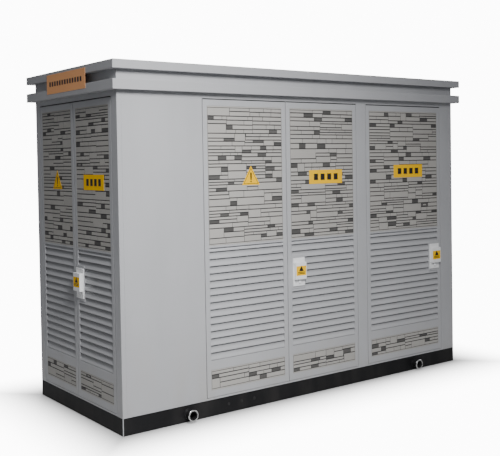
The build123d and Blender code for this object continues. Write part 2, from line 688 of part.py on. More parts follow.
def make_low_voltage_board():
    """The low-voltage cabinet against the back wall, with its breakers facing the front door."""
    z0 = BASE_H + FLOOR_T
    z1 = BEAM_Z - BOARD_GAP
    x0 = PARTITION_LV_X + PARTITION_T + ROOM_CLEAR
    x1 = BODY_L / 2 - FRAME_D - ROOM_CLEAR
    y1 = END_HALF - ROOM_CLEAR
    y0 = y1 - BOARD_D
    keep("lv_cabinet", cabinet(x0, x1, y0, y1, z0, z1, STEEL))
    mid = (x0 + x1) / 2
    breakers = [block(mid - 130, mid + 130, y0 - 90, y0, z0 + 1150, z0 + 1500)]
    for row in range(2):
        for i in range(4):
            x = mid + (i - 1.5) * 150.0
            z = z0 + 300 + row * 360
            breakers.append(block(x - 52, x + 52, y0 - 70, y0, z, z + 240))
            breakers.append(block(x - 10, x + 10, y0 - 95, y0 - 70, z + 100, z + 140))
    breakers.append(block(mid - 16, mid + 16, y0 - 125, y0 - 90, z0 + 1300, z0 + 1360))
    keep("circuit_breakers", breakers)


def main():
    """Build every node and write one STEP file for each."""
    make_base()
    make_trunnions()
    make_floor()
    keep("sill_rails", drilled_ring(BASE_H, SILL_TOP, 0, SILL_H))
    keep("ring_beam", drilled_ring(BEAM_Z, WALL_TOP, STEEL, STEEL))
    make_posts()
    make_partitions()
    make_hinge_pins()
    make_blank_panels()
    make_fixed_panels()
    make_doors()
    make_roof()
    make_transformer()
    make_ring_main_unit()
    make_low_voltage_board()
    os.makedirs("parts", exist_ok=True)
    for name, solids in nodes.items():
        export_step(Compound(children=solids) if len(solids) > 1 else solids[0], f"parts/{name}.step")


main()
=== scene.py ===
# %% [markdown]
# # A transformer kiosk
# The kiosk is a steel housing on a black channel base, with a cabinet for each voltage and a transformer
# between them. The CAD frame gives every size and every hinge. This lesson dresses it: folded steel with
# soft edges, louvres, boards of cut stone, locks and signs, and the equipment behind the doors.

# %% Load the frame
import math
import random

import bmesh
import bpy
from mathutils import Matrix, Vector


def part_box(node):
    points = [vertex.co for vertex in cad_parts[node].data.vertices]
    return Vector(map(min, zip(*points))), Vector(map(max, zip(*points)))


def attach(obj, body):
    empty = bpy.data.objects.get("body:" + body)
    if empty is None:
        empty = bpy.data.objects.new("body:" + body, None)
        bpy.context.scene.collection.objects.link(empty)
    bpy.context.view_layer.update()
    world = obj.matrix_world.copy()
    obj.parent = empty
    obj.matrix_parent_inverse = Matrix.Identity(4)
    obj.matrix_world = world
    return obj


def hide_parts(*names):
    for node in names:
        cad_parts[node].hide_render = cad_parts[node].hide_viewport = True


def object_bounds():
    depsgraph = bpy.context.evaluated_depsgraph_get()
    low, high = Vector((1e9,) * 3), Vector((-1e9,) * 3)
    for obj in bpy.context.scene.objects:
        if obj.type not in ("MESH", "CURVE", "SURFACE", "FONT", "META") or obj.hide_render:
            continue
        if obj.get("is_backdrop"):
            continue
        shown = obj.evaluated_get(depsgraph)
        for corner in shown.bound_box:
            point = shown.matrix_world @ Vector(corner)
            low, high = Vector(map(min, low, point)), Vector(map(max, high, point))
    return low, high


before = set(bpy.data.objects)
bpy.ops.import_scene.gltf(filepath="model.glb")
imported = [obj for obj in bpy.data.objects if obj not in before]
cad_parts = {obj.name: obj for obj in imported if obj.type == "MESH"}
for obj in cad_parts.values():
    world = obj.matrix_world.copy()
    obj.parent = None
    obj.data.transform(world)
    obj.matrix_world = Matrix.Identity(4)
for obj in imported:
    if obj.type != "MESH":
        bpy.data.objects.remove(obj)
CAD_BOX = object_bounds()
MM = 0.001

# %% [markdown]
# ## Sizes
# Nearly every size can be read from the box of a CAD part, so the two models can't drift apart. The few that
# no box gives, such as the thickness of a sheet, are named here once.

# %% Read the sizes from the frame
HALF_L, HALF_W, BASE_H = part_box("base_frame")[1]
SILL_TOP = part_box("sill_rails")[1].z
BEAM_Z, WALL_TOP = (corner.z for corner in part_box("ring_beam"))
NECK_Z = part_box("lower_cornice")[1].z
CAP_Z, TOTAL_H = (corner.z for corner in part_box("roof_cap"))
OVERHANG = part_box("roof_cap")[1].x - HALF_L
HV_PANEL = tuple(corner.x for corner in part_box("hv_side_panels"))
MULLION = (0.465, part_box("mullion_posts")[1].x)
POST_LV = 1.405  # inner edge of the corner posts beside the low-voltage room
END_HALF = -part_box("fixed_panels")[0].y  # half the opening in each end wall
CROSS_X = (-0.928, -0.230, 0.5125)  # the cross channels under the partitions
FRAME_D = 75 * MM  # depth of the posts, the sill and the beam
LEAF_T = 40 * MM
SKIN = 3 * MM  # folded sheet
BAND_D = 120 * MM  # how far the roof bands reach inward
BOARD_T = 12 * MM
print("length", round(2 * HALF_L, 3), "width", round(2 * HALF_W, 3), "height", round(TOTAL_H, 3))

# %% [markdown]
# ## Four walls, one drawing
# The housing's four walls are the same flat drawing four times: u runs to the right as seen from outside, d
# runs inward, and z is up. One matrix for each wall carries a drawing to its place, and the inverse matrix
# reads a CAD part's box back as a drawing.

# %% Walls and doors
WALLS = {
    "front": Matrix.Translation((0, -HALF_W, 0)),
    "left": Matrix.Translation((-HALF_L, 0, 0)) @ Matrix.Rotation(-math.pi / 2, 4, "Z"),
    "back": Matrix.Translation((0, HALF_W, 0)) @ Matrix.Rotation(math.pi, 4, "Z"),
    "right": Matrix.Translation((HALF_L, 0, 0)) @ Matrix.Rotation(math.pi / 2, 4, "Z"),
}


def on_wall(wall, node):
    """A CAD part's box in its wall's frame, as (u0, u1, d0, d1, z0, z1)."""
    back = WALLS[wall].inverted()
    corners = [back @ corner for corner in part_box(node)]
    spans = [sorted((corners[0][i], corners[1][i])) for i in range(3)]
    return spans[0] + spans[1] + spans[2]


DOORS = {
    name: dict(wall=wall, box=on_wall(wall, f"{name}_leaf"), pivot=pivot)
    for name, wall, pivot in (
        ("hv_left", "left", "low"),
        ("hv_right", "left", "high"),
        ("tx_left", "front", "low"),
        ("tx_right", "front", "high"),
        ("lv", "front", "low"),
    )
}
LOCKED = ("hv_right", "tx_right", "lv")
DOOR_Z0, DOOR_Z1 = DOORS["lv"]["box"][4:]
STILE = on_wall("front", "lv_louvres")[0] - DOORS["lv"]["box"][0]
LOUVRE_Z0, LOUVRE_Z1 = on_wall("front", "lv_louvres")[4:]
LOW_Z0, UP_Z1 = on_wall("front", "lv_boards")[4:]
LOW_Z1 = LOW_Z0 + 136 * MM  # top of the lower board
UP_Z0 = LOUVRE_Z1 + 14 * MM  # foot of the upper board
print("door height", round(DOOR_Z1 - DOOR_Z0, 4), "louvres", round(LOUVRE_Z1 - LOUVRE_Z0, 4))

# %% [markdown]
# ## The camera
# The kiosk is seen from the front left at the height of its doors, through a rather long lens. The lens is
# shifted down slightly, so that the uprights stay nearly upright while the base stays in view.

# %% Place the camera
YAW, PITCH, ROLL = 0.640, -0.028, -0.016  # radians
EYE = (-4.000, -5.269, 1.691)
camera = bpy.data.objects.new("Camera", bpy.data.cameras.new("Camera"))
bpy.context.collection.objects.link(camera)
forward = Vector((math.sin(YAW) * math.cos(PITCH), math.cos(YAW) * math.cos(PITCH), math.sin(PITCH)))
right = Vector((math.cos(YAW), -math.sin(YAW), 0))
up = right.cross(forward)
turned_right = math.cos(ROLL) * right + math.sin(ROLL) * up
turned_up = math.cos(ROLL) * up - math.sin(ROLL) * right
turn = Matrix((turned_right, turned_up, -forward)).transposed().to_4x4()
camera.matrix_world = Matrix.Translation(EYE) @ turn
camera.data.lens = 60.95
camera.data.sensor_width = 36
camera.data.shift_y = -0.086
bpy.context.scene.camera = camera
print("camera at", [round(value, 3) for value in camera.matrix_world.translation])

# %% [markdown]
# ## Shader maths
# A finish is mostly arithmetic on noise. Wiring Math nodes by hand hides the idea, so one small class wraps
# a socket and lets Python's own operators add the nodes. Colours go through Mix nodes, because a Math node
# would turn them grey.

# %% A socket that can be added and multiplied
class Wire:
    """One output socket of a finish."""

    def __init__(self, finish, socket):
        self.finish = finish
        self.socket = socket

    def math(self, operation, *values):
        """A Math node on some numbers and wires, in their order."""
        return self.finish.node("ShaderNodeMath", {"operation": operation}, inputs=dict(enumerate(values)))

    def __add__(self, other):
        return self.math("ADD", self, other)

    def __sub__(self, other):
        return self.math("SUBTRACT", self, other)

    def __rsub__(self, other):
        return self.math("SUBTRACT", other, self)

    def __mul__(self, other):
        return self.math("MULTIPLY", self, other)

    __radd__ = __add__
    __rmul__ = __mul__

    def __abs__(self):
        return self.math("ABSOLUTE", self)

    def step(self, low, high):
        """0 below low, 1 above high, and smooth in between."""
        return self.finish.node(
            "ShaderNodeMapRange", {"interpolation_type": "SMOOTHSTEP"},
            inputs={"Value": self, "From Min": low, "From Max": high},
        )


def plug(slot, value):
    """Give an input socket a link or a plain value."""
    if isinstance(value, Wire):
        value.finish.tree.links.new(value.socket, slot)
    elif isinstance(value, tuple) and slot.type == "RGBA":
        slot.default_value = (*value, 1.0)
    else:
        slot.default_value = value


print("operators", [name for name in vars(Wire) if name.startswith("__") and name != "__init__"][:6])


# %% A material under construction
class Finish:
    """A Principled material, with one method that adds any node."""

    def __init__(self, name):
        self.material = bpy.data.materials.new(name)
        self.material.use_nodes = True
        self.tree = self.material.node_tree
        self.shader = self.tree.nodes["Principled BSDF"]
        self.place = self.node("ShaderNodeTexCoord", out="Object")

    def node(self, kind, settings=None, inputs=None, out=0):
        """Any node: its settings first, then the values or links of its sockets, and one output."""
        node = self.tree.nodes.new(kind)
        for key, value in (settings or {}).items():
            setattr(node, key, value)
        for key, value in (inputs or {}).items():
            plug(node.inputs[key], value)
        return Wire(self, node.outputs[out])

    def along(self, axis):
        """One coordinate of the place, in metres."""
        return self.node("ShaderNodeSeparateXYZ", inputs={"Vector": self.place}, out=axis)

    def noise(self, scale, detail=4.0, stretch=None):
        """Noise from 0 to 1 at a scale per metre, stretched along some axes if asked."""
        place = self.place
        if stretch:
            place = self.node("ShaderNodeMapping", inputs={"Vector": place, "Scale": stretch})
        inputs = {"Vector": place, "Scale": scale, "Detail": detail}
        return self.node("ShaderNodeTexNoise", inputs=inputs, out="Fac")

    def mix(self, factor, first, second):
        """One colour to another by a factor."""
        return self.node("ShaderNodeMix", {"data_type": "RGBA"}, {0: factor, 6: first, 7: second}, out=2)

    def own(self, name):
        """A number stored on the mesh."""
        return self.node("ShaderNodeAttribute", {"attribute_name": name}, out="Fac")

    def bump(self, height, distance):
        """A normal from a height of 0 to 1, where 1 stands a distance in metres proud."""
        return self.node("ShaderNodeBump", inputs={"Height": height, "Distance": distance}, out="Normal")

    def done(self, **values):
        """Feed the shader and return the material."""
        for key, value in values.items():
            plug(self.shader.inputs[key.replace("_", " ")], value)
        return self.material


print("finish methods", [name for name in vars(Finish) if not name.startswith("_")])

# %% [markdown]
# ## Painted steel
# The housing is powder coated: a satin skin with a very fine orange peel, faint clouding where the coat is
# thicker, and a little dust that settles low down. The shade below the lip of each louvre is painted in as a
# darker band, and the coat is worn off the base's upright corners, whose paler bare grey also paints in the
# highlight along them. The same recipe in other colours serves the signs and the equipment, so it is one
# function.

# %% The recipe for paint
# Dust; then painted shade for the louvres' recesses; then bare grey, worn metal that also paints in a
# highlight.
DUST, RECESS_SHADE, BARE_AND_HIGHLIGHT = (0.36, 0.33, 0.29), (0.13, 0.13, 0.135), (0.50, 0.51, 0.53)
WEAR_HIGHLIGHT_FROM, WEAR_HIGHLIGHT_TO = 6 * MM, 3 * MM  # how near to a corner the coat thins and is gone, and the painted highlight with it


def paint(name, colour, rough=0.42, peel=0.00012, cloud=0.05, dust=0.0, gloss=0.5, recess=None, worn_highlight=None):
    """A sprayed coat. recess is (foot, pitch) of the louvres, under whose lips a darker band paints in shade,
    and the last argument is the place of a worn corner, whose bare grey also paints in a highlight.
    """
    finish = Finish(name)
    broad = finish.noise(2.2, 3.0)
    fine = finish.noise(420.0, 2.0)
    streak = finish.noise(9.0, 5.0, stretch=(1.0, 1.0, 0.18))
    darker = tuple(part * (1 - 2.2 * cloud) for part in colour)
    lighter = tuple(min(1.0, part * (1 + 2.2 * cloud)) for part in colour)
    base = finish.mix(broad * 0.6 + streak * 0.4, darker, lighter)
    if dust:
        settled = (1 - finish.along("Z").step(0.05, 0.75)) * streak.step(0.35, 0.75) * dust
        base = finish.mix(settled, base, DUST)
    # Painted shade: the upper part of each louvre pitch, just below the next lip, is darkened.
    if recess:
        foot, pitch = recess
        turns = finish.along("Z") * (1 / pitch) - foot / pitch
        painted_shade = turns.math("FRACT", turns).step(0.35, 1.0) * (streak * 0.3 + 0.45)
        base = finish.mix(painted_shade, base, RECESS_SHADE)
    # Worn upright corners, whose paler bare grey also paints in a highlight along them.
    if worn_highlight:
        near_x, near_y = (
            abs(finish.along(axis)).step(edge - WEAR_HIGHLIGHT_FROM, edge - WEAR_HIGHLIGHT_TO) for axis, edge in zip("XY", worn_highlight)
        )
        base = finish.mix(near_x * near_y * streak.step(0.30, 0.45), base, BARE_AND_HIGHLIGHT)
    return finish.done(
        Base_Color=base,
        Roughness=fine * 0.06 + streak * 0.10 + (rough - 0.08),
        Specular_IOR_Level=gloss,
        Normal=finish.bump(fine, peel),
    )


print("wear within", WEAR_HIGHLIGHT_FROM, "of a corner")

# %% Paints
GREY = paint("panel_grey", (0.44, 0.445, 0.46), rough=0.40, dust=0.25)
# The base's worn corners also carry a painted highlight.
BLACK = paint("base_black", (0.010, 0.010, 0.011), rough=0.55, dust=0.03, gloss=0.2, worn_highlight=(HALF_L, HALF_W))
YELLOW = paint("sign_yellow", (1.0, 0.56, 0.0), rough=0.5, cloud=0.01, gloss=0.15)
ORANGE = paint("plate_orange", (1.0, 0.46, 0.20), rough=0.45, cloud=0.03, gloss=0.2)
WHITE = paint("lock_white", (0.90, 0.905, 0.91), rough=0.32, cloud=0.02)
INK = paint("sign_ink", (0.015, 0.014, 0.013), rough=0.5, cloud=0.02)
TANK = paint("tank_green", (0.115, 0.16, 0.145), rough=0.36, cloud=0.07)
SWITCH = paint("switchgear", (0.60, 0.60, 0.56), rough=0.42, cloud=0.03)
MOULDED = paint("breaker_black", (0.028, 0.029, 0.032), rough=0.46, peel=0.0002, cloud=0.06)
RUBBER = paint("seal_rubber", (0.018, 0.018, 0.018), rough=0.78, peel=0.0002)
print("paints", len(bpy.data.materials))

# %% [markdown]
# ## Bare metal, porcelain and stone
# Lock parts are bright plated steel with fine turning marks, and the inner frame is galvanised, whose zinc
# grows in flat crystals, so a Voronoi pattern gives each one its own tone. Porcelain is a clear glaze over a
# brown body. The stones read numbers stored on their own mesh, so that each has one tone from edge to edge.

# %% Metal
def metal(name, colour, rough, crystal=0.0):
    """Bare metal, brushed or with zinc crystals."""
    finish = Finish(name)
    brush = finish.noise(60.0, 3.0, stretch=(1.0, 1.0, 14.0))
    cell = finish.node("ShaderNodeTexVoronoi", inputs={"Vector": finish.place, "Scale": 70.0}, out="Color")
    tone = finish.node("ShaderNodeSeparateColor", inputs={"Color": cell}, out="Red")
    shift = tone * crystal + brush * 0.12
    darker = tuple(part * 0.72 for part in colour)
    return finish.done(
        Base_Color=finish.mix(shift, colour, darker),
        Metallic=1.0,
        Roughness=shift * 0.25 + (rough - 0.05),
        Normal=finish.bump(brush, 0.00006),
    )


STEEL = metal("bright_steel", (0.72, 0.72, 0.71), 0.28)
ZINC = metal("galvanised", (0.58, 0.60, 0.61), 0.42, crystal=0.35)
print("metals", STEEL.name, ZINC.name)

# %% Porcelain
glaze = Finish("insulator")
glaze_tone = glaze.noise(18.0, 3.0)
PORCELAIN = glaze.done(
    Base_Color=glaze.mix(glaze_tone, (0.10, 0.032, 0.018), (0.155, 0.052, 0.028)),
    Roughness=glaze_tone * 0.08 + 0.10,
    Coat_Weight=0.6,
    Normal=glaze.bump(glaze.noise(90.0, 2.0), 0.0001),
)
print("glaze nodes", len(glaze.tree.nodes))

# %% Stone
stone = Finish("stone_board")
speckle = stone.noise(700.0, 3.0)
grain = stone.noise(95.0, 6.0)
vein = stone.noise(26.0, 5.0, stretch=(1.0, 1.0, 2.6))
tone = stone.own("tone")
lit = tone + (speckle - 0.5) * 0.34 + (vein - 0.5) * 0.14
face = stone.mix(lit.step(0.0, 1.0), (0.062, 0.060, 0.058), (0.43, 0.415, 0.39))
joint = stone.own("joint")
STONE = stone.done(
    Base_Color=stone.mix(joint, face, (0.03, 0.03, 0.03)),
    Roughness=speckle * 0.2 + 0.60,
    Normal=stone.bump(speckle * 0.4 + grain * 0.6, 0.0011),
)
print("materials", len(bpy.data.materials))

# %% [markdown]
# ## Pieces from boxes
# Folded sheet is all boxes and hollows, and a boolean of many boxes leaves slivers. It is cleaner to cut
# space into a grid along every face of every box, keep the filled cells, and draw only the walls between a
# filled cell and an empty one. The result is one closed skin.

# %% One skin from many boxes
def cell_skin(adds, cuts=()):
    """The closed outer skin of some boxes less others, as points and faces."""
    every = (*adds, *cuts)
    grid = [sorted({round(edge, 7) for box in every for edge in box[2 * i : 2 * i + 2]}) for i in range(3)]
    mids = [[(a + b) / 2 for a, b in zip(line, line[1:])] for line in grid]

    def inside(boxes, u, d, z):
        return any(b[0] < u < b[1] and b[2] < d < b[3] and b[4] < z < b[5] for b in boxes)

    filled = {
        (i, j, k)
        for i, u in enumerate(mids[0])
        for j, d in enumerate(mids[1])
        for k, z in enumerate(mids[2])
        if inside(adds, u, d, z) and not inside(cuts, u, d, z)
    }
    points, faces = {}, []

    def point(*index):
        return points.setdefault(index, len(points))

    sides = (
        ((1, 0, 0), ((1, 0, 0), (1, 1, 0), (1, 1, 1), (1, 0, 1))),
        ((-1, 0, 0), ((0, 0, 0), (0, 0, 1), (0, 1, 1), (0, 1, 0))),
        ((0, 1, 0), ((0, 1, 0), (0, 1, 1), (1, 1, 1), (1, 1, 0))),
        ((0, -1, 0), ((0, 0, 0), (1, 0, 0), (1, 0, 1), (0, 0, 1))),
        ((0, 0, 1), ((0, 0, 1), (1, 0, 1), (1, 1, 1), (0, 1, 1))),
        ((0, 0, -1), ((0, 0, 0), (0, 1, 0), (1, 1, 0), (1, 0, 0))),
    )
    for cell in sorted(filled):
        for step, corners in sides:
            if tuple(c + s for c, s in zip(cell, step)) not in filled:
                faces.append([point(*(c + s for c, s in zip(cell, corner))) for corner in corners])
    places = [tuple(grid[i][index[i]] for i in range(3)) for index in points]
    return places, faces


print("a plain box has", len(cell_skin([(0, 1, 0, 1, 0, 1)])[1]), "faces")

# %% [markdown]
# ## Drafting a piece
# A draft gathers points and faces for one piece: skins of boxes, outlines turned on an axis as on a lathe,
# and flat outlines pushed along an axis. The finished mesh is welded, faces outward, and takes a small bevel
# on its edges, as a press brake leaves them.

# %% Drafts
class Draft:
    """Points and faces gathered for one piece, drawn in the frame of a wall or of the world."""

    def __init__(self, matrix=None):
        self.matrix = matrix or Matrix.Identity(4)
        self.points, self.faces = [], []

    def add(self, points, faces, matrix=None):
        carry = self.matrix @ (matrix or Matrix.Identity(4))
        start = len(self.points)
        self.points += [tuple(carry @ Vector(point)) for point in points]
        self.faces += [[start + index for index in face] for face in faces]
        return self

    def boxes(self, adds, cuts=(), matrix=None):
        return self.add(*cell_skin(adds, cuts), matrix=matrix)

    def lathe(self, profile, centre, axis="d", steps=40):
        """A closed outline of (radius, along) pairs turned about an axis through centre."""
        points, faces, rings = [], [], []
        for radius, along in profile:
            ring = []
            for i in range(steps if radius > 1e-9 else 1):
                angle = 2 * math.pi * i / steps
                a, b = radius * math.cos(angle), radius * math.sin(angle)
                ring.append(len(points))
                local = {"d": (a, along, b), "z": (a, b, along), "u": (along, a, b)}[axis]
                points.append(tuple(c + l for c, l in zip(centre, local)))
            rings.append(ring)
        for first, second in zip(rings, rings[1:]):
            for i in range(steps):
                j = (i + 1) % steps
                corners = ((first, i), (first, j), (second, j), (second, i))
                face = list(dict.fromkeys(ring[k % len(ring)] for ring, k in corners))
                if len(face) > 2:
                    faces.append(face)
        return self.add(points, faces)

    def prism(self, outline, low, high, axis="d"):
        """A flat outline pushed along an axis from low to high."""
        count = len(outline)
        points = []
        for along in (low, high):
            points += [{"d": (a, along, b), "z": (a, b, along), "u": (along, a, b)}[axis] for a, b in outline]
        faces = [list(range(count)), list(range(2 * count - 1, count - 1, -1))]
        faces += [[i, i + count, (i + 1) % count + count, (i + 1) % count] for i in range(count)]
        return self.add(points, faces)

    def piece(self, name, material, bevel=0.0, segments=2, angle=35.0):
        """The finished object: welded, facing outward, bevelled and shaded smooth up to an angle."""
        mesh = bpy.data.meshes.new(name)
        mesh.from_pydata(self.points, [], self.faces)
        build = bmesh.new()
        build.from_mesh(mesh)
        bmesh.ops.remove_doubles(build, verts=build.verts, dist=1e-6)
        bmesh.ops.recalc_face_normals(build, faces=build.faces)
        build.to_mesh(mesh)
        build.free()
        return soften(bpy.data.objects.new(name, mesh), material, bevel, segments, angle)


print("drafting methods", [name for name in vars(Draft) if not name.startswith("_")])


# %% Finishing a mesh and placing it
BEVEL_FROM = 40  # degrees between two faces


def soften(piece, material, bevel, segments=2, angle=35.0):
    """Link a mesh object, bevel its edges and shade it smooth up to an angle."""
    if piece.name not in bpy.context.collection.objects:
        bpy.context.collection.objects.link(piece)
    mesh = piece.data
    mesh.materials.clear()
    mesh.materials.append(material)
    if bevel:
        edge = piece.modifiers.new("Edge", "BEVEL")
        edge.width = bevel
        edge.segments = segments
        edge.limit_method = "ANGLE"
        edge.angle_limit = math.radians(BEVEL_FROM)
        edge.harden_normals = True
        edge.use_clamp_overlap = True
    mesh.shade_smooth()
    mesh.set_sharp_from_angle(angle=math.radians(angle))
    return piece


def drill(piece, holes):
    """Cut round upright holes, given as (x, y, radius, z0, z1), into a piece for good."""
    tool = Draft()
    for x, y, radius, z0, z1 in holes:
        tool.lathe([(0, z0), (radius, z0), (radius, z1), (0, z1)], (x, y, 0), axis="z", steps=24)
    cutter = tool.piece("cutter", piece.data.materials[0])
    cut = piece.modifiers.new("Holes", "BOOLEAN")
    cut.operation = "DIFFERENCE"
    cut.solver = "EXACT"
    cut.object = cutter
    bpy.context.view_layer.update()
    mesh = bpy.data.meshes.new_from_object(piece.evaluated_get(bpy.context.evaluated_depsgraph_get()))
    piece.modifiers.clear()
    piece.data = mesh
    bpy.data.objects.remove(cutter)
    return piece


def fit(piece, body, slot, *nodes):
    """Let a finished piece ride on a body in the place of some CAD parts."""
    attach(piece, body)
    if nodes:
        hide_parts(*nodes)
    return piece


print("bevels from", BEVEL_FROM, "degrees")

# %% [markdown]
# ## Repeating with Geometry Nodes
# Louvre blades, bolts, roof seams and rivets are each one shape at even steps. A small node tree places
# copies along a line, or on a grid of rows and columns. It ends by realizing the copies and setting their
# material, and the evaluated result is kept as a plain mesh.

# %% A tree that repeats a shape on a grid
def repeater():
    """A Geometry Nodes group with named inputs for the two counts, the two steps and the material."""
    group = bpy.data.node_groups.new("Repeat on a grid", "GeometryNodeTree")
    face = group.interface
    face.new_socket("Geometry", in_out="INPUT", socket_type="NodeSocketGeometry")
    for name, kind in (
        ("Columns", "NodeSocketInt"),
        ("Rows", "NodeSocketInt"),
        ("Column step", "NodeSocketVector"),
        ("Row step", "NodeSocketVector"),
        ("Finish", "NodeSocketMaterial"),
    ):
        face.new_socket(name, in_out="INPUT", socket_type=kind)
    face.new_socket("Geometry", in_out="OUTPUT", socket_type="NodeSocketGeometry")
    new = group.nodes.new
    link = group.links.new
    start = new("NodeGroupInput")
    end = new("NodeGroupOutput")
    shape = start.outputs["Geometry"]
    for count, step in (("Columns", "Column step"), ("Rows", "Row step")):
        line = new("GeometryNodeMeshLine")
        line.mode = "OFFSET"
        link(start.outputs[count], line.inputs["Count"])
        link(start.outputs[step], line.inputs["Offset"])
        place = new("GeometryNodeInstanceOnPoints")
        link(line.outputs[0], place.inputs["Points"])
        link(shape, place.inputs["Instance"])
        real = new("GeometryNodeRealizeInstances")
        link(place.outputs[0], real.inputs[0])
        shape = real.outputs[0]
    coat = new("GeometryNodeSetMaterial")
    link(shape, coat.inputs["Geometry"])
    link(start.outputs["Finish"], coat.inputs["Material"])
    link(coat.outputs[0], end.inputs[0])
    return group


# %% Using the tree
REPEAT = repeater()
SOCKETS = {item.name: item.identifier for item in REPEAT.interface.items_tree if item.in_out == "INPUT"}


def repeated(seed, material, columns, column_step, rows=1, row_step=(0, 0, 0)):
    """Repeat a finished one-off object into a plain mesh, and return its points and faces."""
    repeat = seed.modifiers.new("Repeat", "NODES")
    repeat.node_group = REPEAT
    repeat[SOCKETS["Columns"]] = columns
    repeat[SOCKETS["Rows"]] = rows
    repeat[SOCKETS["Column step"]] = column_step
    repeat[SOCKETS["Row step"]] = row_step
    repeat[SOCKETS["Finish"]] = material
    bpy.context.view_layer.update()
    shown = seed.evaluated_get(bpy.context.evaluated_depsgraph_get())
    mesh = bpy.data.meshes.new_from_object(shown)
    points = [tuple(vertex.co) for vertex in mesh.vertices]
    faces = [list(polygon.vertices) for polygon in mesh.polygons]
    old = seed.data
    bpy.data.objects.remove(seed)
    bpy.data.meshes.remove(old)
    bpy.data.meshes.remove(mesh)
    return points, faces


print("repeater inputs", list(SOCKETS))

# %% [markdown]
# ## The base
# The base is a black channel turned inward on all four sides, with three cross channels under the rooms.
# One outline swept around the rectangle, with its corners mitred, makes the whole ring, and every other
# band of the housing is made the same way.

# %% Bands around the housing
def band(draft, outline):
    """Sweep a closed outline of (outset, z) around the housing's rectangle, with mitred corners."""
    points, faces = [], []
    count = len(outline)
    for sx, sy in ((-1, -1), (1, -1), (1, 1), (-1, 1)):
        points += [(sx * (HALF_L + out), sy * (HALF_W + out), z) for out, z in outline]
    for corner in range(4):
        after = (corner + 1) % 4
        for i in range(count):
            j = (i + 1) % count
            faces.append([corner * count + i, after * count + i, after * count + j, corner * count + j])
    return draft.add(points, faces)


def channel(out, depth, z0, z1, wall, lip=0.0):
    """The outline of a channel open inward, with lips turned at the ends of its flanges if asked."""
    back = out - depth
    inner = [(back, z0 + wall), (out - wall, z0 + wall), (out - wall, z1 - wall), (back, z1 - wall)]
    if lip:
        inner = [
            (back, z0 + lip), (back + wall, z0 + lip), (back + wall, z0 + wall), (out - wall, z0 + wall),
            (out - wall, z1 - wall), (back + wall, z1 - wall), (back + wall, z1 - lip), (back, z1 - lip),
        ]
    return [(back, z0), (out, z0), (out, z1), (back, z1), *reversed(inner)]


print("a lipped channel has", len(channel(0, BAND_D, 0, BAND_D, SKIN, lip=14 * MM)), "corners")

# %% The base frame
BASE_WALL = 6 * MM
CROSS_HALF = 30 * MM
base = band(Draft(), channel(0, FRAME_D, 0, BASE_H, BASE_WALL))
y = HALF_W - FRAME_D
for x in CROSS_X:
    base.boxes(
        [(x - CROSS_HALF, x + CROSS_HALF, -y, y, 0, BASE_H)],
        [(x - CROSS_HALF + BASE_WALL, x + 1.1 * CROSS_HALF, -y - 1, y + 1, BASE_WALL, BASE_H - BASE_WALL)],
    )
fit(base.piece("Base_channels", BLACK, bevel=2.2 * MM), "housing", "base_black", "base_frame")
print("cross channels at", CROSS_X)

# %% [markdown]
# ## The lifting trunnions
# Four flanged stubs on the base take a crane's slings. Each is a tube between two flanges, so it is turned
# like any round part: an outline of radii and depths spun about its own axis, with softened rims. Slings
# have rubbed the paint off the outer rims, so those are bright steel.

# %% Trunnions
TRUNNION_U, TRUNNION_Z = 1.070, 0.052
STUB = [
    (22, -6), (22, -58), (23.5, -59.5), (31, -59.5), (31, -54), (28, -52), (28, -8), (30, -6),
    (36, -6), (38, -4.5), (38, 0), (0, 0), (0, -6), (22, -6),
]
RIM = [(30, -54), (30, -60), (36.5, -60), (38, -58.5), (38, -55.5), (36.5, -54), (30, -54)]
stubs, rims = Draft(), Draft()
for wall in ("front", "back"):
    stubs.matrix = rims.matrix = WALLS[wall]
    for u in (-TRUNNION_U, TRUNNION_U):
        for draft, outline in ((stubs, STUB), (rims, RIM)):
            draft.lathe([(r * MM, d * MM) for r, d in outline], (u, 0, TRUNNION_Z), steps=48)
fit(stubs.piece("Lifting_trunnions", BLACK), "housing", "base_black", "lifting_trunnions")
fit(rims.piece("Trunnion_rims", STEEL), "housing", "bright_steel")
print("trunnions at z", TRUNNION_Z)

# %% [markdown]
# ## The roof bands
# Two bands overhang the walls with a set-back neck between them, which throws the shadow lines that the
# roof is known by. The upper one carries the roof sheet. The sheet lies a little lower than its rim, and
# standing seams cross it, which Geometry Nodes set out at even steps.

# %% Cornice, neck and cap
cornice = band(Draft(), channel(OVERHANG, BAND_D, WALL_TOP, NECK_Z, SKIN, lip=14 * MM))
fit(cornice.piece("Lower_cornice", GREY, bevel=1.6 * MM), "housing", "panel_grey", "lower_cornice")
neck = band(Draft(), channel(0, FRAME_D, NECK_Z, CAP_Z, SKIN))
fit(neck.piece("Roof_neck", GREY, bevel=1.0 * MM), "housing", "panel_grey", "roof_neck")

print("neck", round(CAP_Z - NECK_Z, 3), "high")

# %% The roof cap and its seams
SEAM_H, SEAM_W = 9 * MM, 8 * MM
SEAM_PITCH = 0.262
SUNK = 0.5 * MM  # how far a seam stands in its sheet
cap = band(Draft(), channel(OVERHANG, BAND_D, CAP_Z, TOTAL_H, SKIN, lip=16 * MM))
x_in = HALF_L + OVERHANG - BAND_D + SKIN
y_in = HALF_W + OVERHANG - BAND_D + SKIN
sheet_top = TOTAL_H - SEAM_H
cap.boxes([(-x_in, x_in, -y_in, y_in, sheet_top - SKIN, sheet_top)])
seam = Draft().boxes([(-x_in, -x_in + SEAM_W, -y_in, y_in, sheet_top - SUNK, TOTAL_H - SUNK)])
seam_count = int(2 * x_in / SEAM_PITCH)
seam_step = (2 * x_in - SEAM_W) / seam_count
cap.add(*repeated(seam.piece("seam", GREY), GREY, seam_count + 1, (seam_step, 0, 0)))
fit(cap.piece("Roof_cap", GREY, bevel=1.6 * MM), "housing", "panel_grey", "roof_cap")
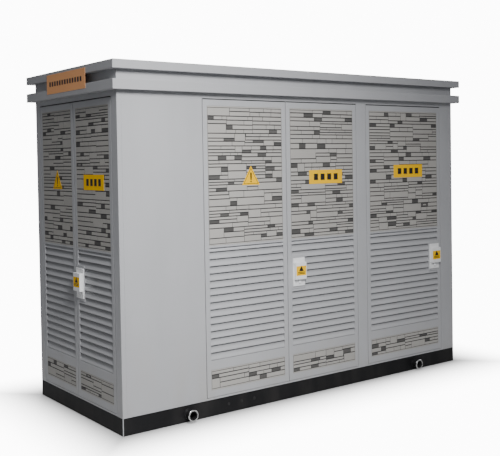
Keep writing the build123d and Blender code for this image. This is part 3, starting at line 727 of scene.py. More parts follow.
print("roof seams", seam_count + 1, "at", round(seam_step, 4))

# %% [markdown]
# ## Sill, beam, posts and side panels
# These are plain folded tubes and trays, and what matters is the gap between them: a few millimetres of
# dark that draw each leaf. Every tube is one skin with a bevel of its own, so the two never merge. The
# locks' rods run into keeper holes in the sill and in the beam, which a boolean cuts.

# %% Sill, beam and keeper holes
ROD_D = 52.3 * MM  # depth of the rods behind the outside
KEEPER_R = 6 * MM
keepers = []
for name in LOCKED:
    wall = DOORS[name]["wall"]
    u0, u1 = on_wall(wall, f"{name}_upper_rod")[:2]
    keepers.append(WALLS[wall] @ Vector(((u0 + u1) / 2, ROD_D, 0)))

solid = [(-FRAME_D, BASE_H), (0, BASE_H), (0, SILL_TOP), (-FRAME_D, SILL_TOP)]
for name, outline, z0, z1, bevel in (
    ("sill_rails", solid, BASE_H, SILL_TOP, 1.2 * MM),
    ("ring_beam", channel(0, FRAME_D, BEAM_Z, WALL_TOP, SKIN), BEAM_Z, BEAM_Z + SKIN, 1.0 * MM),
):
    rail = band(Draft(), outline).piece(name.capitalize(), GREY)
    drill(rail, [(keeper.x, keeper.y, KEEPER_R, z0 - 1 * MM, z1 + 1 * MM) for keeper in keepers])
    fit(soften(rail, GREY, bevel), "housing", "panel_grey", name)
print("keeper holes", len(keepers) * 2)


# %% Posts and side panels
TRAY_D = 20 * MM  # depth of the high-voltage room's side panels


def tube(draft, u0, u1, d0, d1):
    """An upright tube between the sill and the ring beam."""
    draft.boxes(
        [(u0, u1, d0, d1, SILL_TOP, BEAM_Z)],
        [(u0 + SKIN, u1 - SKIN, d0 + SKIN, d1 - SKIN, SILL_TOP - 1, BEAM_Z + 1)],
    )


posts = Draft()
mullions = Draft()
for wall, side in (("front", 1), ("back", -1)):
    posts.matrix = mullions.matrix = WALLS[wall]
    for u0, u1 in ((-HALF_L, HV_PANEL[0]), (POST_LV, HALF_L)):
        tube(posts, *sorted((side * u0, side * u1)), 0, FRAME_D)
    tube(mullions, *sorted(side * u for u in MULLION), 0, FRAME_D)
    tube(mullions, *sorted((side * (HV_PANEL[1] - 60 * MM), side * HV_PANEL[1])), TRAY_D, FRAME_D)
fit(posts.piece("Corner_posts", GREY, bevel=2.2 * MM, segments=3), "housing", "panel_grey", "corner_posts")
fit(mullions.piece("Room_posts", GREY, bevel=1.6 * MM), "housing", "panel_grey", "mullion_posts")

sides = Draft()
for wall, side in (("front", 1), ("back", -1)):
    sides.matrix = WALLS[wall]
    u0, u1 = sorted(side * u for u in HV_PANEL)
    sides.boxes(
        [(u0, u1, 0, TRAY_D, SILL_TOP, BEAM_Z)],
        [(u0 + SKIN, u1 - SKIN, SKIN, 1, SILL_TOP + SKIN, BEAM_Z - SKIN)],
    )
fit(sides.piece("Side_panels", GREY, bevel=1.4 * MM), "housing", "panel_grey", "hv_side_panels")
print("posts and side panels stand from", round(SILL_TOP, 3), "to", round(BEAM_Z, 3))

# %% [markdown]
# ## Leaves and fixed panels
# A leaf is a folded frame around three windows: a board below, the louvres, and a tall board above. The
# back and the right end have the same panels, screwed shut. A lock box stands in the louvres of each leaf
# that locks, and carries the lever, and guides hold the two rods that run to the sill and the beam.

# %% The panel's steel
GUIDE_W, GUIDE_H = 24 * MM, 14 * MM
GUIDE_HOLE = 5.2 * MM
LOCK_W, LOCK_H = 59 * MM, 120 * MM  # half the lock box
RAILS = ((DOOR_Z0, LOW_Z0), (LOW_Z1, LOUVRE_Z0), (LOUVRE_Z1, UP_Z0), (UP_Z1, DOOR_Z1))


def panel_boxes(u0, u1, reach=0.0):
    """The folded steel of one panel, as boxes to keep and boxes to cut."""
    a, b = u0 + STILE, u1 - STILE
    adds = [(u, v, 0, LEAF_T, DOOR_Z0 - reach, DOOR_Z1 + reach) for u, v in ((u0, a), (b, u1))]
    cuts = [(u + SKIN, v - SKIN, SKIN, 1, LOW_Z0, UP_Z1) for u, v in ((u0, a), (b, u1))]
    for z0, z1 in RAILS:
        adds.append((a, b, 0, LEAF_T, z0, z1))
        cuts.append((a + SKIN, b - SKIN, SKIN, 1, z0 + SKIN, z1 - SKIN))
    for z0, z1 in ((LOW_Z0, LOW_Z1), (UP_Z0, UP_Z1)):
        adds.append((a, b, BOARD_T, BOARD_T + SKIN, z0, z1))
    return adds, cuts


def lock_parts(name):
    """The middle of a leaf's lock and the box that the lock stands in."""
    plate = on_wall(DOORS[name]["wall"], f"{name}_lock_plate")
    u0, u1 = DOORS[name]["box"][:2]
    mid, z = (plate[0] + plate[1]) / 2, (plate[4] + plate[5]) / 2
    span = (u0 + STILE, mid + LOCK_W) if DOORS[name]["pivot"] == "high" else (mid - LOCK_W, u1 - STILE)
    return mid, (*span, 0, LEAF_T, z - LOCK_H, z + LOCK_H)


def rod_guides(leaf, mid, z0, z1):
    """Four blocks along the rods' line: at the leaf's ends and at the ends of its lock box."""
    for low, high in ((DOOR_Z0, LOW_Z0), (z0, z0 + GUIDE_H), (z1 - GUIDE_H, z1), (UP_Z1, DOOR_Z1)):
        inset = 2 * MM if high - low > GUIDE_H + 1e-6 else 0
        leaf.boxes(
            [(mid - GUIDE_W / 2, mid + GUIDE_W / 2, LEAF_T, ROD_D + 10 * MM, low + inset, high - inset)],
            [(mid - GUIDE_HOLE, mid + GUIDE_HOLE, ROD_D - GUIDE_HOLE, ROD_D + GUIDE_HOLE, low - 1, high + 1)],
        )


print("rails of a panel", [round(z1 - z0, 3) for z0, z1 in RAILS])

# %% Five leaves
for name, door in DOORS.items():
    u0, u1 = door["box"][:2]
    leaf = Draft(WALLS[door["wall"]])
    leaf.boxes(*panel_boxes(u0, u1))
    if name in LOCKED:
        mid, box = lock_parts(name)
        leaf.boxes([box], [(box[0] + SKIN, box[1] - SKIN, SKIN, LEAF_T - SKIN, box[4] - 1, box[5] + 1)])
        rod_guides(leaf, mid, *box[4:])
    shown = leaf.piece(f"{name}_leaf".capitalize(), GREY, bevel=2.4 * MM, segments=3)
    fit(shown, f"{name}_door", "panel_grey", f"{name}_leaf")
    print(shown.name, "width", round(u1 - u0, 3))

# %% Fixed panels
FIXED = [("back", -v, -u) for u, v in (DOORS[name]["box"][:2] for name in ("tx_left", "tx_right", "lv"))]
FIXED.append(("right", -END_HALF, END_HALF))
fixed = Draft()
for wall, u0, u1 in FIXED:
    fixed.matrix = WALLS[wall]
    fixed.boxes(*panel_boxes(u0, u1, DOOR_Z0 - SILL_TOP))
fit(fixed.piece("Fixed_panels", GREY, bevel=2.4 * MM, segments=3), "housing", "panel_grey", "fixed_panels")
print("fixed panels", len(FIXED))

# %% [markdown]
# ## Louvres
# A blade is one folded strip: an upright lip at its outer edge, then a slope that rises inward behind the
# next blade, so that air passes and rain does not. The lip's underside turns in with a small drip fold.
# One blade is drawn, and Geometry Nodes repeat it up the opening.

# %% Blades
BLADES, BLADE_PITCH = 16, 48 * MM
FOOT = LOUVRE_Z0 + 6 * MM
# The louvres' coat darkens the band under each lip: painted shade.
LOUVRE = paint("louvre_grey", (0.44, 0.445, 0.46), rough=0.40, dust=0.2, recess=(FOOT, BLADE_PITCH))


def blade(draft, a, b):
    """The lowest blade between two stiles."""
    outline = [(1, 0), (3.2, 0), (3.2, 4.4), (17.6, 53.2), (17.6, 54), (15.6, 54), (1.4, 6.2), (1, 5)]
    return draft.prism([(d * MM, FOOT + z * MM) for d, z in outline], a + 1 * MM, b - 1 * MM, axis="u")


def louvres(draft, u0, u1):
    """The blades, the two strips that hold them and a strip that closes the gap below the first."""
    a, b = u0 + STILE, u1 - STILE
    one = blade(Draft(), a, b).piece("blade", LOUVRE)
    points, faces = repeated(one, LOUVRE, BLADES, (0, 0, BLADE_PITCH))
    top = LOUVRE_Z1 - 0.2 * MM
    clipped = [(u, d, min(z, top)) for u, d, z in points]
    draft.add(clipped, faces)
    for s0, s1 in ((a, a + 2 * MM), (b - 2 * MM, b)):
        draft.boxes([(s0, s1, 1 * MM, 18 * MM, LOUVRE_Z0, LOUVRE_Z1)])
    draft.boxes([(a + 1.5 * MM, b - 1.5 * MM, 1.5 * MM, 2.9 * MM, LOUVRE_Z0, FOOT + 2 * MM)])


print("blades in one panel", BLADES)

# %% Blades in every panel
for name, door in DOORS.items():
    cassette = Draft(WALLS[door["wall"]])
    louvres(cassette, *door["box"][:2])
    shown = cassette.piece(f"{name}_blades", LOUVRE, bevel=0.5 * MM)
    fit(shown, f"{name}_door", "panel_grey", f"{name}_louvres")
cassette = Draft()
for wall, u0, u1 in FIXED:
    cassette.matrix = WALLS[wall]
    louvres(cassette, u0, u1)
fit(cassette.piece("Fixed_blades", LOUVRE, bevel=0.5 * MM), "housing", "panel_grey", "fixed_louvres")
print("blades", BLADES * (len(DOORS) + len(FIXED)))

# %% [markdown]
# ## Stone boards
# The boards imitate dry-laid stone: uneven courses of long pale stones, split here and there by short dark
# ones. Each stone is a low slab with chamfered edges, so that its joints catch the light. A seeded
# generator divides a board into patches, and lays the courses of each patch from the foot up; a few stones
# stand two courses high, and a few dark ones carry a pale chip. Each slab stores its tone, and the ground
# between the slabs is marked as joints.

# %% Slabs and their tones
RELIEF = 1.6 * MM


class Masonry:
    """Low slabs on a board, with a tone and a joint mark for each face, and the dark stones laid so far."""

    def __init__(self):
        self.points, self.faces, self.tones, self.joints, self.dark = [], [], [], [], []

    def face(self, matrix, corners, tone, joint):
        start = len(self.points)
        self.points += [tuple(matrix @ Vector(corner)) for corner in corners]
        self.faces.append(list(range(start, start + len(corners))))
        self.tones.append(tone)
        self.joints.append(joint)

    def slab(self, matrix, quad, tone, edge=1.3 * MM, top=0.15 * MM):
        """A chamfered slab on four corners (u, z), counted around from the lower left."""
        mid_u = sum(u for u, z in quad) / 4
        mid_z = sum(z for u, z in quad) / 4
        inner = [(u - math.copysign(edge, u - mid_u), z - math.copysign(edge, z - mid_z)) for u, z in quad]
        foot = [(u, RELIEF + 0.2 * MM, z) for u, z in quad]
        crown = [(u, top, z) for u, z in inner]
        self.face(matrix, crown, tone, 0.0)
        self.face(matrix, foot[::-1], tone, 1.0)
        for i in range(4):
            j = (i + 1) % 4
            self.face(matrix, [foot[i], foot[j], crown[j], crown[i]], tone * 0.8, 0.25)

    def piece(self, name):
        """The finished board object with its two stored numbers."""
        mesh = bpy.data.meshes.new(name)
        mesh.from_pydata(self.points, [], self.faces)
        for title, values in (("tone", self.tones), ("joint", self.joints)):
            mesh.attributes.new(title, "FLOAT", "FACE").data.foreach_set("value", values)
        mesh.materials.append(STONE)
        board = bpy.data.objects.new(name, mesh)
        bpy.context.collection.objects.link(board)
        return board


print("stones stand", RELIEF / MM, "mm proud")

# %% One course of a patch
DARK_LONG, PALE_LONG = (48, 92), (60, 240)  # the shortest and the longest stones, in millimetres


def course(masonry, matrix, left, right, low, high, above, taken, rng):
    """Stones between two ends of one course; a few reach up to the top of the next."""
    u = left
    seam, gap = 2.6 * MM, 0.9 * MM
    dark_before = rng.random() < 0.5
    while u < right - 1e-6:
        dark = not dark_before and rng.random() < 0.42
        wide = (rng.uniform(*DARK_LONG) if dark else rng.uniform(*PALE_LONG)) * MM
        if right - u - wide < 36 * MM:
            dark, wide = dark and right - u < 0.11, right - u
        end = u + wide
        clear = 10 * MM
        if any(u < e + clear and s < end + clear and abs(z - low) < 45 * MM for s, e, z in masonry.dark):
            dark = False
        if dark:
            masonry.dark.append((u, end, low))
        tall = above is not None and not dark and 0.05 < wide < 0.24 and rng.random() < 0.20
        top = above if tall else high
        tone = rng.uniform(0.08, 0.20) if dark else rng.uniform(0.80, 0.93)
        drop = rng.uniform(0.5, 3.0) * MM if dark else 0.0
        quad = [
            (u + gap, low + seam + drop * 0.3), (end - gap, low + seam + drop * 0.3),
            (end - gap, top - seam - drop * 0.7), (u + gap, top - seam - drop * 0.7),
        ]
        if tall:
            taken.append((u, end))
        masonry.slab(matrix, quad, tone)
        if dark and wide > 0.07 and rng.random() < 0.16:
            c, s = (u + end) / 2, wide * 0.22
            mid, t = (low + top) / 2, (top - low) * 0.17
            chip = [(c - s, mid - t), (c + s, mid - t), (c + s, mid + t), (c - s, mid + t)]
            masonry.slab(matrix, chip, 0.85, edge=0.8 * MM, top=0.05 * MM)
        u, dark_before = end, dark


print("stones from", DARK_LONG[0], "to", PALE_LONG[1], "mm long")

# %% A patch of courses
COURSE_HIGH = (20, 32)  # millimetres


def patch(masonry, matrix, left, right, low, high, lean, tilt, rng):
    """A patch of courses, whose left and right ends lean by a little over its height."""
    count = max(2, round((high - low) / (rng.uniform(*COURSE_HIGH) * MM)))
    shares = [rng.uniform(0.75, 1.25) for _ in range(count)]
    edges = [low]
    for share in shares:
        edges.append(edges[-1] + share * (high - low) / sum(shares))

    def ends(z):
        part = (z - low) / (high - low) * 2 - 1
        return left + lean * part, right + tilt * part

    taken = []
    for row in range(count):
        z0, z1 = edges[row], edges[row + 1]
        above = edges[row + 2] if row + 2 <= count else None
        start, stop = ends((z0 + z1) / 2)
        blocked, taken = sorted(taken), []
        at = start
        for first, second in (*blocked, (stop, stop)):
            if first - at > 12 * MM:
                course(masonry, matrix, at, first, z0, z1, above, taken, rng)
            at = second


print("courses near", COURSE_HIGH, "mm high")

# %% One board
PATCH_HIGH, PATCH_LONG = (70, 150), (150, 380)  # millimetres


def board(masonry, matrix, u0, u1, z0, z1, rng):
    """One board: its ground, its plain border and its courses of stones."""
    points, faces = cell_skin([(u0, u1, RELIEF, BOARD_T, z0, z1)])
    for face in faces:
        masonry.face(matrix, [points[i] for i in face], 0.3, 1.0)
    side, top = 3 * MM, 9 * MM
    frames = (
        (u0, u1, z1 - top, z1), (u0, u1, z0, z0 + top),
        (u0, u0 + side, z0 + top, z1 - top), (u1 - side, u1, z0 + top, z1 - top),
    )
    for a, b, c, d in frames:
        masonry.slab(matrix, [(a, c), (b, c), (b, d), (a, d)], 0.86, edge=0.5 * MM)
    masonry.dark = []
    a, b, z, end = u0 + side, u1 - side, z0 + top, z1 - top
    while z < end - 1e-6:
        high = rng.uniform(*PATCH_HIGH) * MM
        if end - z - high < 50 * MM:
            high = end - z
        u, lean = a, 0.0
        while u < b - 1e-6:
            wide = rng.uniform(*PATCH_LONG) * MM
            if b - u - wide < 110 * MM:
                wide = b - u
            last = u + wide > b - 1e-6
            tilt = 0.0 if last else rng.choice((0, 0, 1, -1)) * rng.uniform(3, 9) * MM
            patch(masonry, matrix, u, u + wide, z, z + high, lean, tilt, rng)
            u, lean = u + wide, tilt
        z += high


def boards(masonry, matrix, u0, u1, seed):
    """The lower and upper boards of one panel."""
    rng = random.Random(seed)
    for z0, z1 in ((LOW_Z0, LOW_Z1), (UP_Z0, UP_Z1)):
        board(masonry, matrix, u0 + STILE, u1 - STILE, z0, z1, rng)


print("boards from", round(LOW_Z0, 3), "to", round(UP_Z1, 3))

# %% Stones on every panel
for seed, (name, door) in enumerate(DOORS.items()):
    masonry = Masonry()
    boards(masonry, WALLS[door["wall"]], *door["box"][:2], 11 + seed)
    fit(masonry.piece(f"{name}_stones"), f"{name}_door", "stone_board", f"{name}_boards")
    print(name, "stone faces", len(masonry.faces))
masonry = Masonry()
for seed, (wall, u0, u1) in enumerate(FIXED):
    boards(masonry, WALLS[wall], u0, u1, 31 + seed)
fit(masonry.piece("Fixed_stones"), "housing", "stone_board", "fixed_boards")

# %% [markdown]
# ## Signs and the name plate
# The signs are thin pressed plates on the upper boards. Their marks are plain shapes that say nothing: a
# border, a bar and a dot in the triangles, and a row of blocks on the bars and on the orange plate.

# %% Outlines for the marks
MARK_T = 1 * MM  # a mark's thickness, from its own face
PLATE_IN = 0.4 * MM  # a plate's face lies this far behind its marks


def ring(radius, sides, u=0, z=0):
    """The corners of a regular outline around a centre."""
    turns = [i * math.pi / (sides / 2) for i in range(sides)]
    return [(u + radius * math.cos(turn), z + radius * math.sin(turn)) for turn in turns]


def triangle(u, z, side, inset=0):
    """The corners of an upright triangle, drawn in by an inset from each side."""
    high = side * math.sqrt(3) / 2
    return [
        (u - side / 2 + inset * math.sqrt(3), z + inset),
        (u + side / 2 - inset * math.sqrt(3), z + inset),
        (u, z + high - 2 * inset),
    ]


print("corners of a dot", len(ring(6 * MM, 12)))


# %% Yellow signs
def triangle_marks(ink, place):
    """A border, and a bar over a dot."""
    u0, u1, d0, _, z0, _ = place
    mid = (u0 + u1) / 2
    outer, inner = (triangle(mid, z0, u1 - u0, inset) for inset in (7 * MM, 10 * MM))
    for i in range(3):
        j = (i + 1) % 3
        ink.prism([outer[i], outer[j], inner[j], inner[i]], d0, d0 + MARK_T)
    bar = [(mid + a * MM, z0 + b * MM) for a, b in ((-5, 34), (5, 34), (7, 84), (-7, 84))]
    ink.prism(bar, d0, d0 + MARK_T)
    ink.prism(ring(6 * MM, 12, mid, z0 + 23 * MM), d0, d0 + MARK_T)


def row_marks(ink, place, count=4, inset=27 * MM):
    """A row of blocks along the middle of a bar."""
    u0, u1, d0, _, z0, z1 = place
    pitch = (u1 - u0) * 0.80 / count
    half = pitch * 0.30
    start = (u0 + u1) / 2 - pitch * (count - 1) / 2
    for i in range(count):
        u = start + i * pitch
        ink.boxes([(u - half, u + half, d0, d0 + MARK_T, z0 + inset, z1 - inset)])


for name, door in DOORS.items():
    place = u0, u1, d0, d1, z0, z1 = on_wall(door["wall"], f"{name}_sign")
    plate, ink = Draft(WALLS[door["wall"]]), Draft(WALLS[door["wall"]])
    if name.endswith("left"):
        plate.prism(triangle((u0 + u1) / 2, z0, u1 - u0), d0 + PLATE_IN, d1)
        triangle_marks(ink, place)
    else:
        plate.boxes([(u0, u1, d0 + PLATE_IN, d1, z0, z1)])
        row_marks(ink, place)
    shown = plate.piece(f"{name}_sign_plate", YELLOW, bevel=0.4 * MM)
    fit(shown, f"{name}_door", "sign_yellow", f"{name}_sign")
    fit(ink.piece(f"{name}_sign_marks", INK), f"{name}_door", "sign_yellow")
print("signs", len(DOORS))

# %% The orange name plate
BLOCKS, BLOCK_PITCH = 13, 40 * MM
u0, u1, d0, d1, z0, z1 = on_wall("left", "name_plate")
plate, ink = Draft(WALLS["left"]), Draft(WALLS["left"])
plate.boxes([(u0, u1, d0 + PLATE_IN, d1, z0, z1)])
fit(plate.piece("Orange_plate", ORANGE, bevel=0.5 * MM), "housing", "plate_orange", "name_plate")
one = Draft().boxes([(u0 + 44 * MM, u0 + 68 * MM, d0, d0 + MARK_T, z0 + 50 * MM, z1 - 50 * MM)])
ink.add(*repeated(one.piece("mark", INK), INK, BLOCKS, (BLOCK_PITCH, 0, 0)))
fit(ink.piece("Orange_plate_marks", INK), "housing", "plate_orange")
print("plate", round(u1 - u0, 3), "by", round(z1 - z0, 3))

# %% [markdown]
# ## Locks
# Each lock has a white plate with a key barrel, and a cover hinged at its top over the lever. The CAD parts
# already have the right shape for the pins and lugs to turn, so a copy of each is welded and its edges are
# softened. A yellow sticker with a triangle over two bars rides on each cover.


# %% Soft-edged copies of CAD parts
def softened(node, material, bevel, angle=35.0):
    """A copy of a CAD part with its triangles welded and its edges bevelled."""
    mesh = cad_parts[node].data.copy()
    build = bmesh.new()
    build.from_mesh(mesh)
    bmesh.ops.remove_doubles(build, verts=build.verts, dist=1e-6)
    bmesh.ops.dissolve_limit(build, angle_limit=0.02, verts=build.verts, edges=build.edges)
    build.to_mesh(mesh)
    build.free()
    copy = bpy.data.objects.new(f"{node}_finished", mesh)
    return soften(copy, material, bevel, 2, angle)


print("locks", LOCKED)

# %% Levers
SPINDLE_R = 7.7 * MM  # a little under its hole
COLLAR_R = 20 * MM


def lever(name):
    """A bar on a spindle that runs in through the lock plate."""
    u0, u1, d0, d1, z0, z1 = on_wall(DOORS[name]["wall"], f"{name}_lever")
    mid, shoulder = (u0 + u1) / 2, d1 - 6 * MM
    draft = Draft(WALLS[DOORS[name]["wall"]])
    draft.boxes([(mid - 8 * MM, mid + 8 * MM, d0, d0 + 10 * MM, z0, z1)])
    spindle = [(0, -9 * MM), (SPINDLE_R, -9 * MM), (SPINDLE_R, shoulder), (COLLAR_R, shoulder)]
    draft.lathe([*spindle, (COLLAR_R, d1), (0, d1)], (mid, 0, (z0 + z1) / 2), steps=32)
    return draft.piece(f"{name}_lever_bar", STEEL, bevel=1.8 * MM, segments=3)


print("spindle", 2 * SPINDLE_R / MM, "mm thick")


# %% Stickers on the covers
def sticker(name):
    """A yellow square on a lock cover, and its mark: a triangle over two bars."""
    u0, u1, d0, _, z0, z1 = on_wall(DOORS[name]["wall"], f"{name}_lock_cover")
    mid, half, low, high = (u0 + u1) / 2, (u1 - u0) / 2 - 7 * MM, z0 + 26 * MM, z1 - 26 * MM
    square, mark = Draft(WALLS[DOORS[name]["wall"]]), Draft(WALLS[DOORS[name]["wall"]])
    square.boxes([(mid - half, mid + half, d0 - 0.3 * MM, d0 + 0.2 * MM, low, high)])
    mark.prism(triangle(mid, low + 0.45 * (high - low), half), d0 - 0.5 * MM, d0)
    for part in (0.16, 0.30):
        bar = low + part * (high - low)
        mark.boxes([(mid - half * 0.7, mid + half * 0.7, d0 - 0.5 * MM, d0, bar, bar + 5 * MM)])
    return square.piece(f"{name}_sticker", YELLOW), mark.piece(f"{name}_sticker_mark", INK)


for name in LOCKED:
    plate, cover = f"{name}_lock_plate", f"{name}_lock_cover"
    fit(softened(plate, WHITE, 0.8 * MM), f"{name}_door", "lock_white", plate)
    fit(softened(cover, WHITE, 0.7 * MM), f"{name}_cover", "lock_white", cover)
    fit(lever(name), f"{name}_handle", "bright_steel", f"{name}_lever")
    for piece in sticker(name):
        fit(piece, f"{name}_cover", "sign_yellow")
print("lock covers", len(LOCKED))

# %% [markdown]
# ## Screws, seals and plugs
# The back and the right end are screwed shut, so round-headed screws run down both stiles of each panel.
# A dark rubber strip seals the head of every panel, and its black also paints in the shadow line above the
# doors. Rubber plugs close the spare holes of the base.

# %% Screws
SCREW_ROWS = 9
SCREW_END = 60 * MM  # from a panel's end to its first screw


def screw(centre, radius=5.5 * MM, proud=1.8 * MM):
    """A low round head on a wall, with a shallow recess in its middle."""
    outline = [(0, 0.5), (0.35, 0.5), (0.42, -0.9), (0.75, -0.8), (0.95, -0.4), (1.0, 0.5), (0, 0.5)]
    profile = [(r * radius, d * proud) for r, d in outline]
    return Draft().lathe(profile, centre, steps=12)


screws = Draft()
step = (DOOR_Z1 - DOOR_Z0 - 2 * SCREW_END) / (SCREW_ROWS - 1)
for wall, u0, u1 in FIXED:
    screws.matrix = WALLS[wall]
    seed = screw((u0 + STILE / 2, 0, DOOR_Z0 + SCREW_END)).piece("screw", ZINC)
    screws.add(*repeated(seed, ZINC, 2, (u1 - u0 - STILE, 0, 0), SCREW_ROWS, (0, 0, step)))
fit(screws.piece("Panel_screws", ZINC), "housing", "galvanised")
print("screws", SCREW_ROWS * 2 * len(FIXED))

# %% Seals and plugs
HEADS = [("front", *DOORS[name]["box"][:2]) for name in ("tx_left", "tx_right", "lv")]
HEADS += [("left", -END_HALF, END_HALF), *FIXED]
# Head seals: black rubber that also paints in the shadow line above the doors.
seals = Draft()
for wall, u0, u1 in HEADS:
    seals.matrix = WALLS[wall]
    seals.boxes([(u0, u1, -1.2 * MM, 2.0 * MM, BEAM_Z - 1.5 * MM, BEAM_Z + 4.0 * MM)])
fit(seals.piece("Head_seals", RUBBER, bevel=0.6 * MM), "housing", "base_black")
plugs = Draft(WALLS["front"])
for u in (-0.749, -0.642, -0.534):
    plugs.add(*repeated(screw((u, 0, 58 * MM), 11 * MM, 3 * MM).piece("plug", RUBBER), RUBBER, 1, (0, 0, 0)))
fit(plugs.piece("Base_plugs", RUBBER), "housing", "base_black")
print("seals", len(HEADS))

# %% [markdown]
# ## The transformer
# The tank is a plain welded box with a bolted cover. Its corners are rounded by the weld, so soft-edged
# copies of the CAD parts serve, and the bolts, the gauge, the lifting lugs and the valve are added here.
# Geometry Nodes set the bolts out along both long edges of the cover.

# %% Tank, cover, fins and bushings
for node, material, slot, bevel in (
    ("transformer_tank", TANK, "tank_green", 5 * MM),
    ("tank_cover", TANK, "tank_green", 2.5 * MM),
    ("cooling_fins", TANK, "tank_green", 2 * MM),
    ("transformer_skid", BLACK, "base_black", 2 * MM),
    ("bushings", PORCELAIN, "insulator", 0),
):
    fit(softened(node, material, bevel, 45.0), "housing", slot, node)
(tank_low, tank_high), (cover_low, cover_high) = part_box("transformer_tank"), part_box("tank_cover")
top = cover_high.z
print("tank top", round(top, 3))

# %% Bolts of the cover
COVER_BOLTS = 13
EDGE = 16 * MM
span = (cover_high.x - cover_low.x - 2 * EDGE, cover_high.y - cover_low.y - 2 * EDGE)
corner = (cover_low.x + EDGE, cover_low.y + EDGE)
head = [(corner[0] + a, corner[1] + b) for a, b in ring(9 * MM, 6)]
bolt = Draft().prism(head, top - 1 * MM, top + 7 * MM, axis="z")
stud = [(0, 6.5), (4.5, 6.5), (4.5, 15), (3.6, 16), (0, 16)]
bolt.lathe([(r * MM, z * MM) for r, z in stud], (*corner, top), axis="z", steps=10)
step = (span[0] / (COVER_BOLTS - 1), 0, 0)
bolts = Draft().add(*repeated(bolt.piece("bolt", ZINC), ZINC, COVER_BOLTS, step, 2, (0, span[1], 0)))
fit(bolts.piece("Cover_bolts", ZINC), "housing", "galvanised")
print("cover bolts", COVER_BOLTS * 2)

# %% Lifting lugs and valve
fittings = Draft()
lug = [(-0.03, 0), (0.03, 0), (0.03, 0.03), (0.012, 0.055), (-0.012, 0.055), (-0.03, 0.03)]
for x in (tank_low.x + 0.04, tank_high.x - 0.04):
    for y in (-0.08, 0.08):
        fittings.prism([(y + a, top + b) for a, b in lug], x - 5 * MM, x + 5 * MM, axis="u")
valve = [(0, -0.002), (0.020, -0.002), (0.020, 0.030), (0.032, 0.030), (0.032, 0.042), (0, 0.042)]
fittings.lathe(valve, (tank_high.x, 0, tank_low.z + 0.07), axis="u", steps=24)
fit(fittings.piece("Tank_fittings", TANK, bevel=1 * MM), "housing", "tank_green")
print("lugs 4, valve 1")

# %% Oil gauge
gauge, dial = Draft(), Draft()
gauge_mid = (tank_low.x + 0.115, 0, top)
stem = [(0, -0.001), (0.018, -0.001), (0.018, 0.07)]
case = [(0.040, 0.074), (0.040, 0.098), (0.036, 0.102), (0, 0.102)]
gauge.lathe(stem + case, gauge_mid, axis="z", steps=32)
fit(gauge.piece("Oil_gauge", STEEL), "housing", "bright_steel")
dial.lathe([(0, 0.1015), (0.031, 0.1015), (0.031, 0.1035), (0, 0.1035)], gauge_mid, axis="z", steps=32)
fit(dial.piece("Oil_gauge_dial", WHITE), "housing", "lock_white")
print("gauge at", [round(v, 3) for v in gauge_mid])

# %% [markdown]
# ## The switchgear
# The high-voltage unit has three bays that face the end doors. Each has a cable door below and a control
# panel above with two operating sockets. A mimic line joins the sockets as on the real thing, and a dark
# window shows the switch. The low-voltage cabinet has a main breaker over two rows of smaller ones.

# %% Cabinets
for node, material, slot, bevel in (
    ("ring_main_unit", SWITCH, "switchgear", 2 * MM),
    ("lv_cabinet", SWITCH, "switchgear", 2 * MM),
    ("circuit_breakers", MOULDED, "breaker_black", 3 * MM),
):
    fit(softened(node, material, bevel, 45.0), "housing", slot, node)
(unit_low, unit_high), (board_low, board_high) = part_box("ring_main_unit"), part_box("lv_cabinet")
print("cabinets", round(unit_high.z, 3), round(board_high.z, 3))

# %% Ring main unit
BAYS = 3
PANEL, CABLE_DOOR = -14 * MM, -8 * MM  # depths of the two faces
unit = Matrix.Translation((unit_low.x + 26 * MM, 0, 0)) @ Matrix.Rotation(-math.pi / 2, 4, "Z")
marks, glass, grips, lamps = (Draft(unit) for _ in range(4))
bay = (unit_high.y - unit_low.y) / BAYS
z0 = unit_low.z
lamp = [(r * MM, PANEL + d * MM) for r, d in ((0, 1), (8, 1), (8, -3), (6, -6), (0, -7))]
for i in range(BAYS):
    u = (i - 1) * bay
    for low, high in ((0.66, 0.73), (0.79, 0.93), (0.99, 1.10)):
        marks.boxes([(u - 3 * MM, u + 3 * MM, PANEL - 1 * MM, PANEL + 1 * MM, z0 + low, z0 + high)])
    marks.boxes([(u - 0.12, u + 0.12, PANEL - 1 * MM, PANEL + 1 * MM, z0 + 1.10, z0 + 1.106)])
    glass.boxes([(u - 0.055, u + 0.055, PANEL - 3 * MM, PANEL + 1 * MM, z0 + 1.16, z0 + 1.24)])
    grips.boxes(
        [(u + 0.09, u + 0.11, CABLE_DOOR - 18 * MM, CABLE_DOOR + 1 * MM, z0 + 0.26, z0 + 0.38)],
        [(u + 0.08, u + 0.12, CABLE_DOOR - 10 * MM, CABLE_DOOR + 2 * MM, z0 + 0.28, z0 + 0.36)],
    )
    for side in (-1, 1):
        lamps.lathe(lamp, (u + side * 0.085, 0, z0 + 1.20), steps=20)
fit(marks.piece("Mimic_lines", INK), "housing", "breaker_black")
fit(glass.piece("Switch_windows", MOULDED, bevel=1.2 * MM), "housing", "breaker_black")
fit(grips.piece("Cable_door_grips", MOULDED, bevel=2.5 * MM), "housing", "breaker_black")
fit(lamps.piece("Unit_lamps", YELLOW), "housing", "sign_yellow")
print("bays", BAYS, "pitch", round(bay, 3))

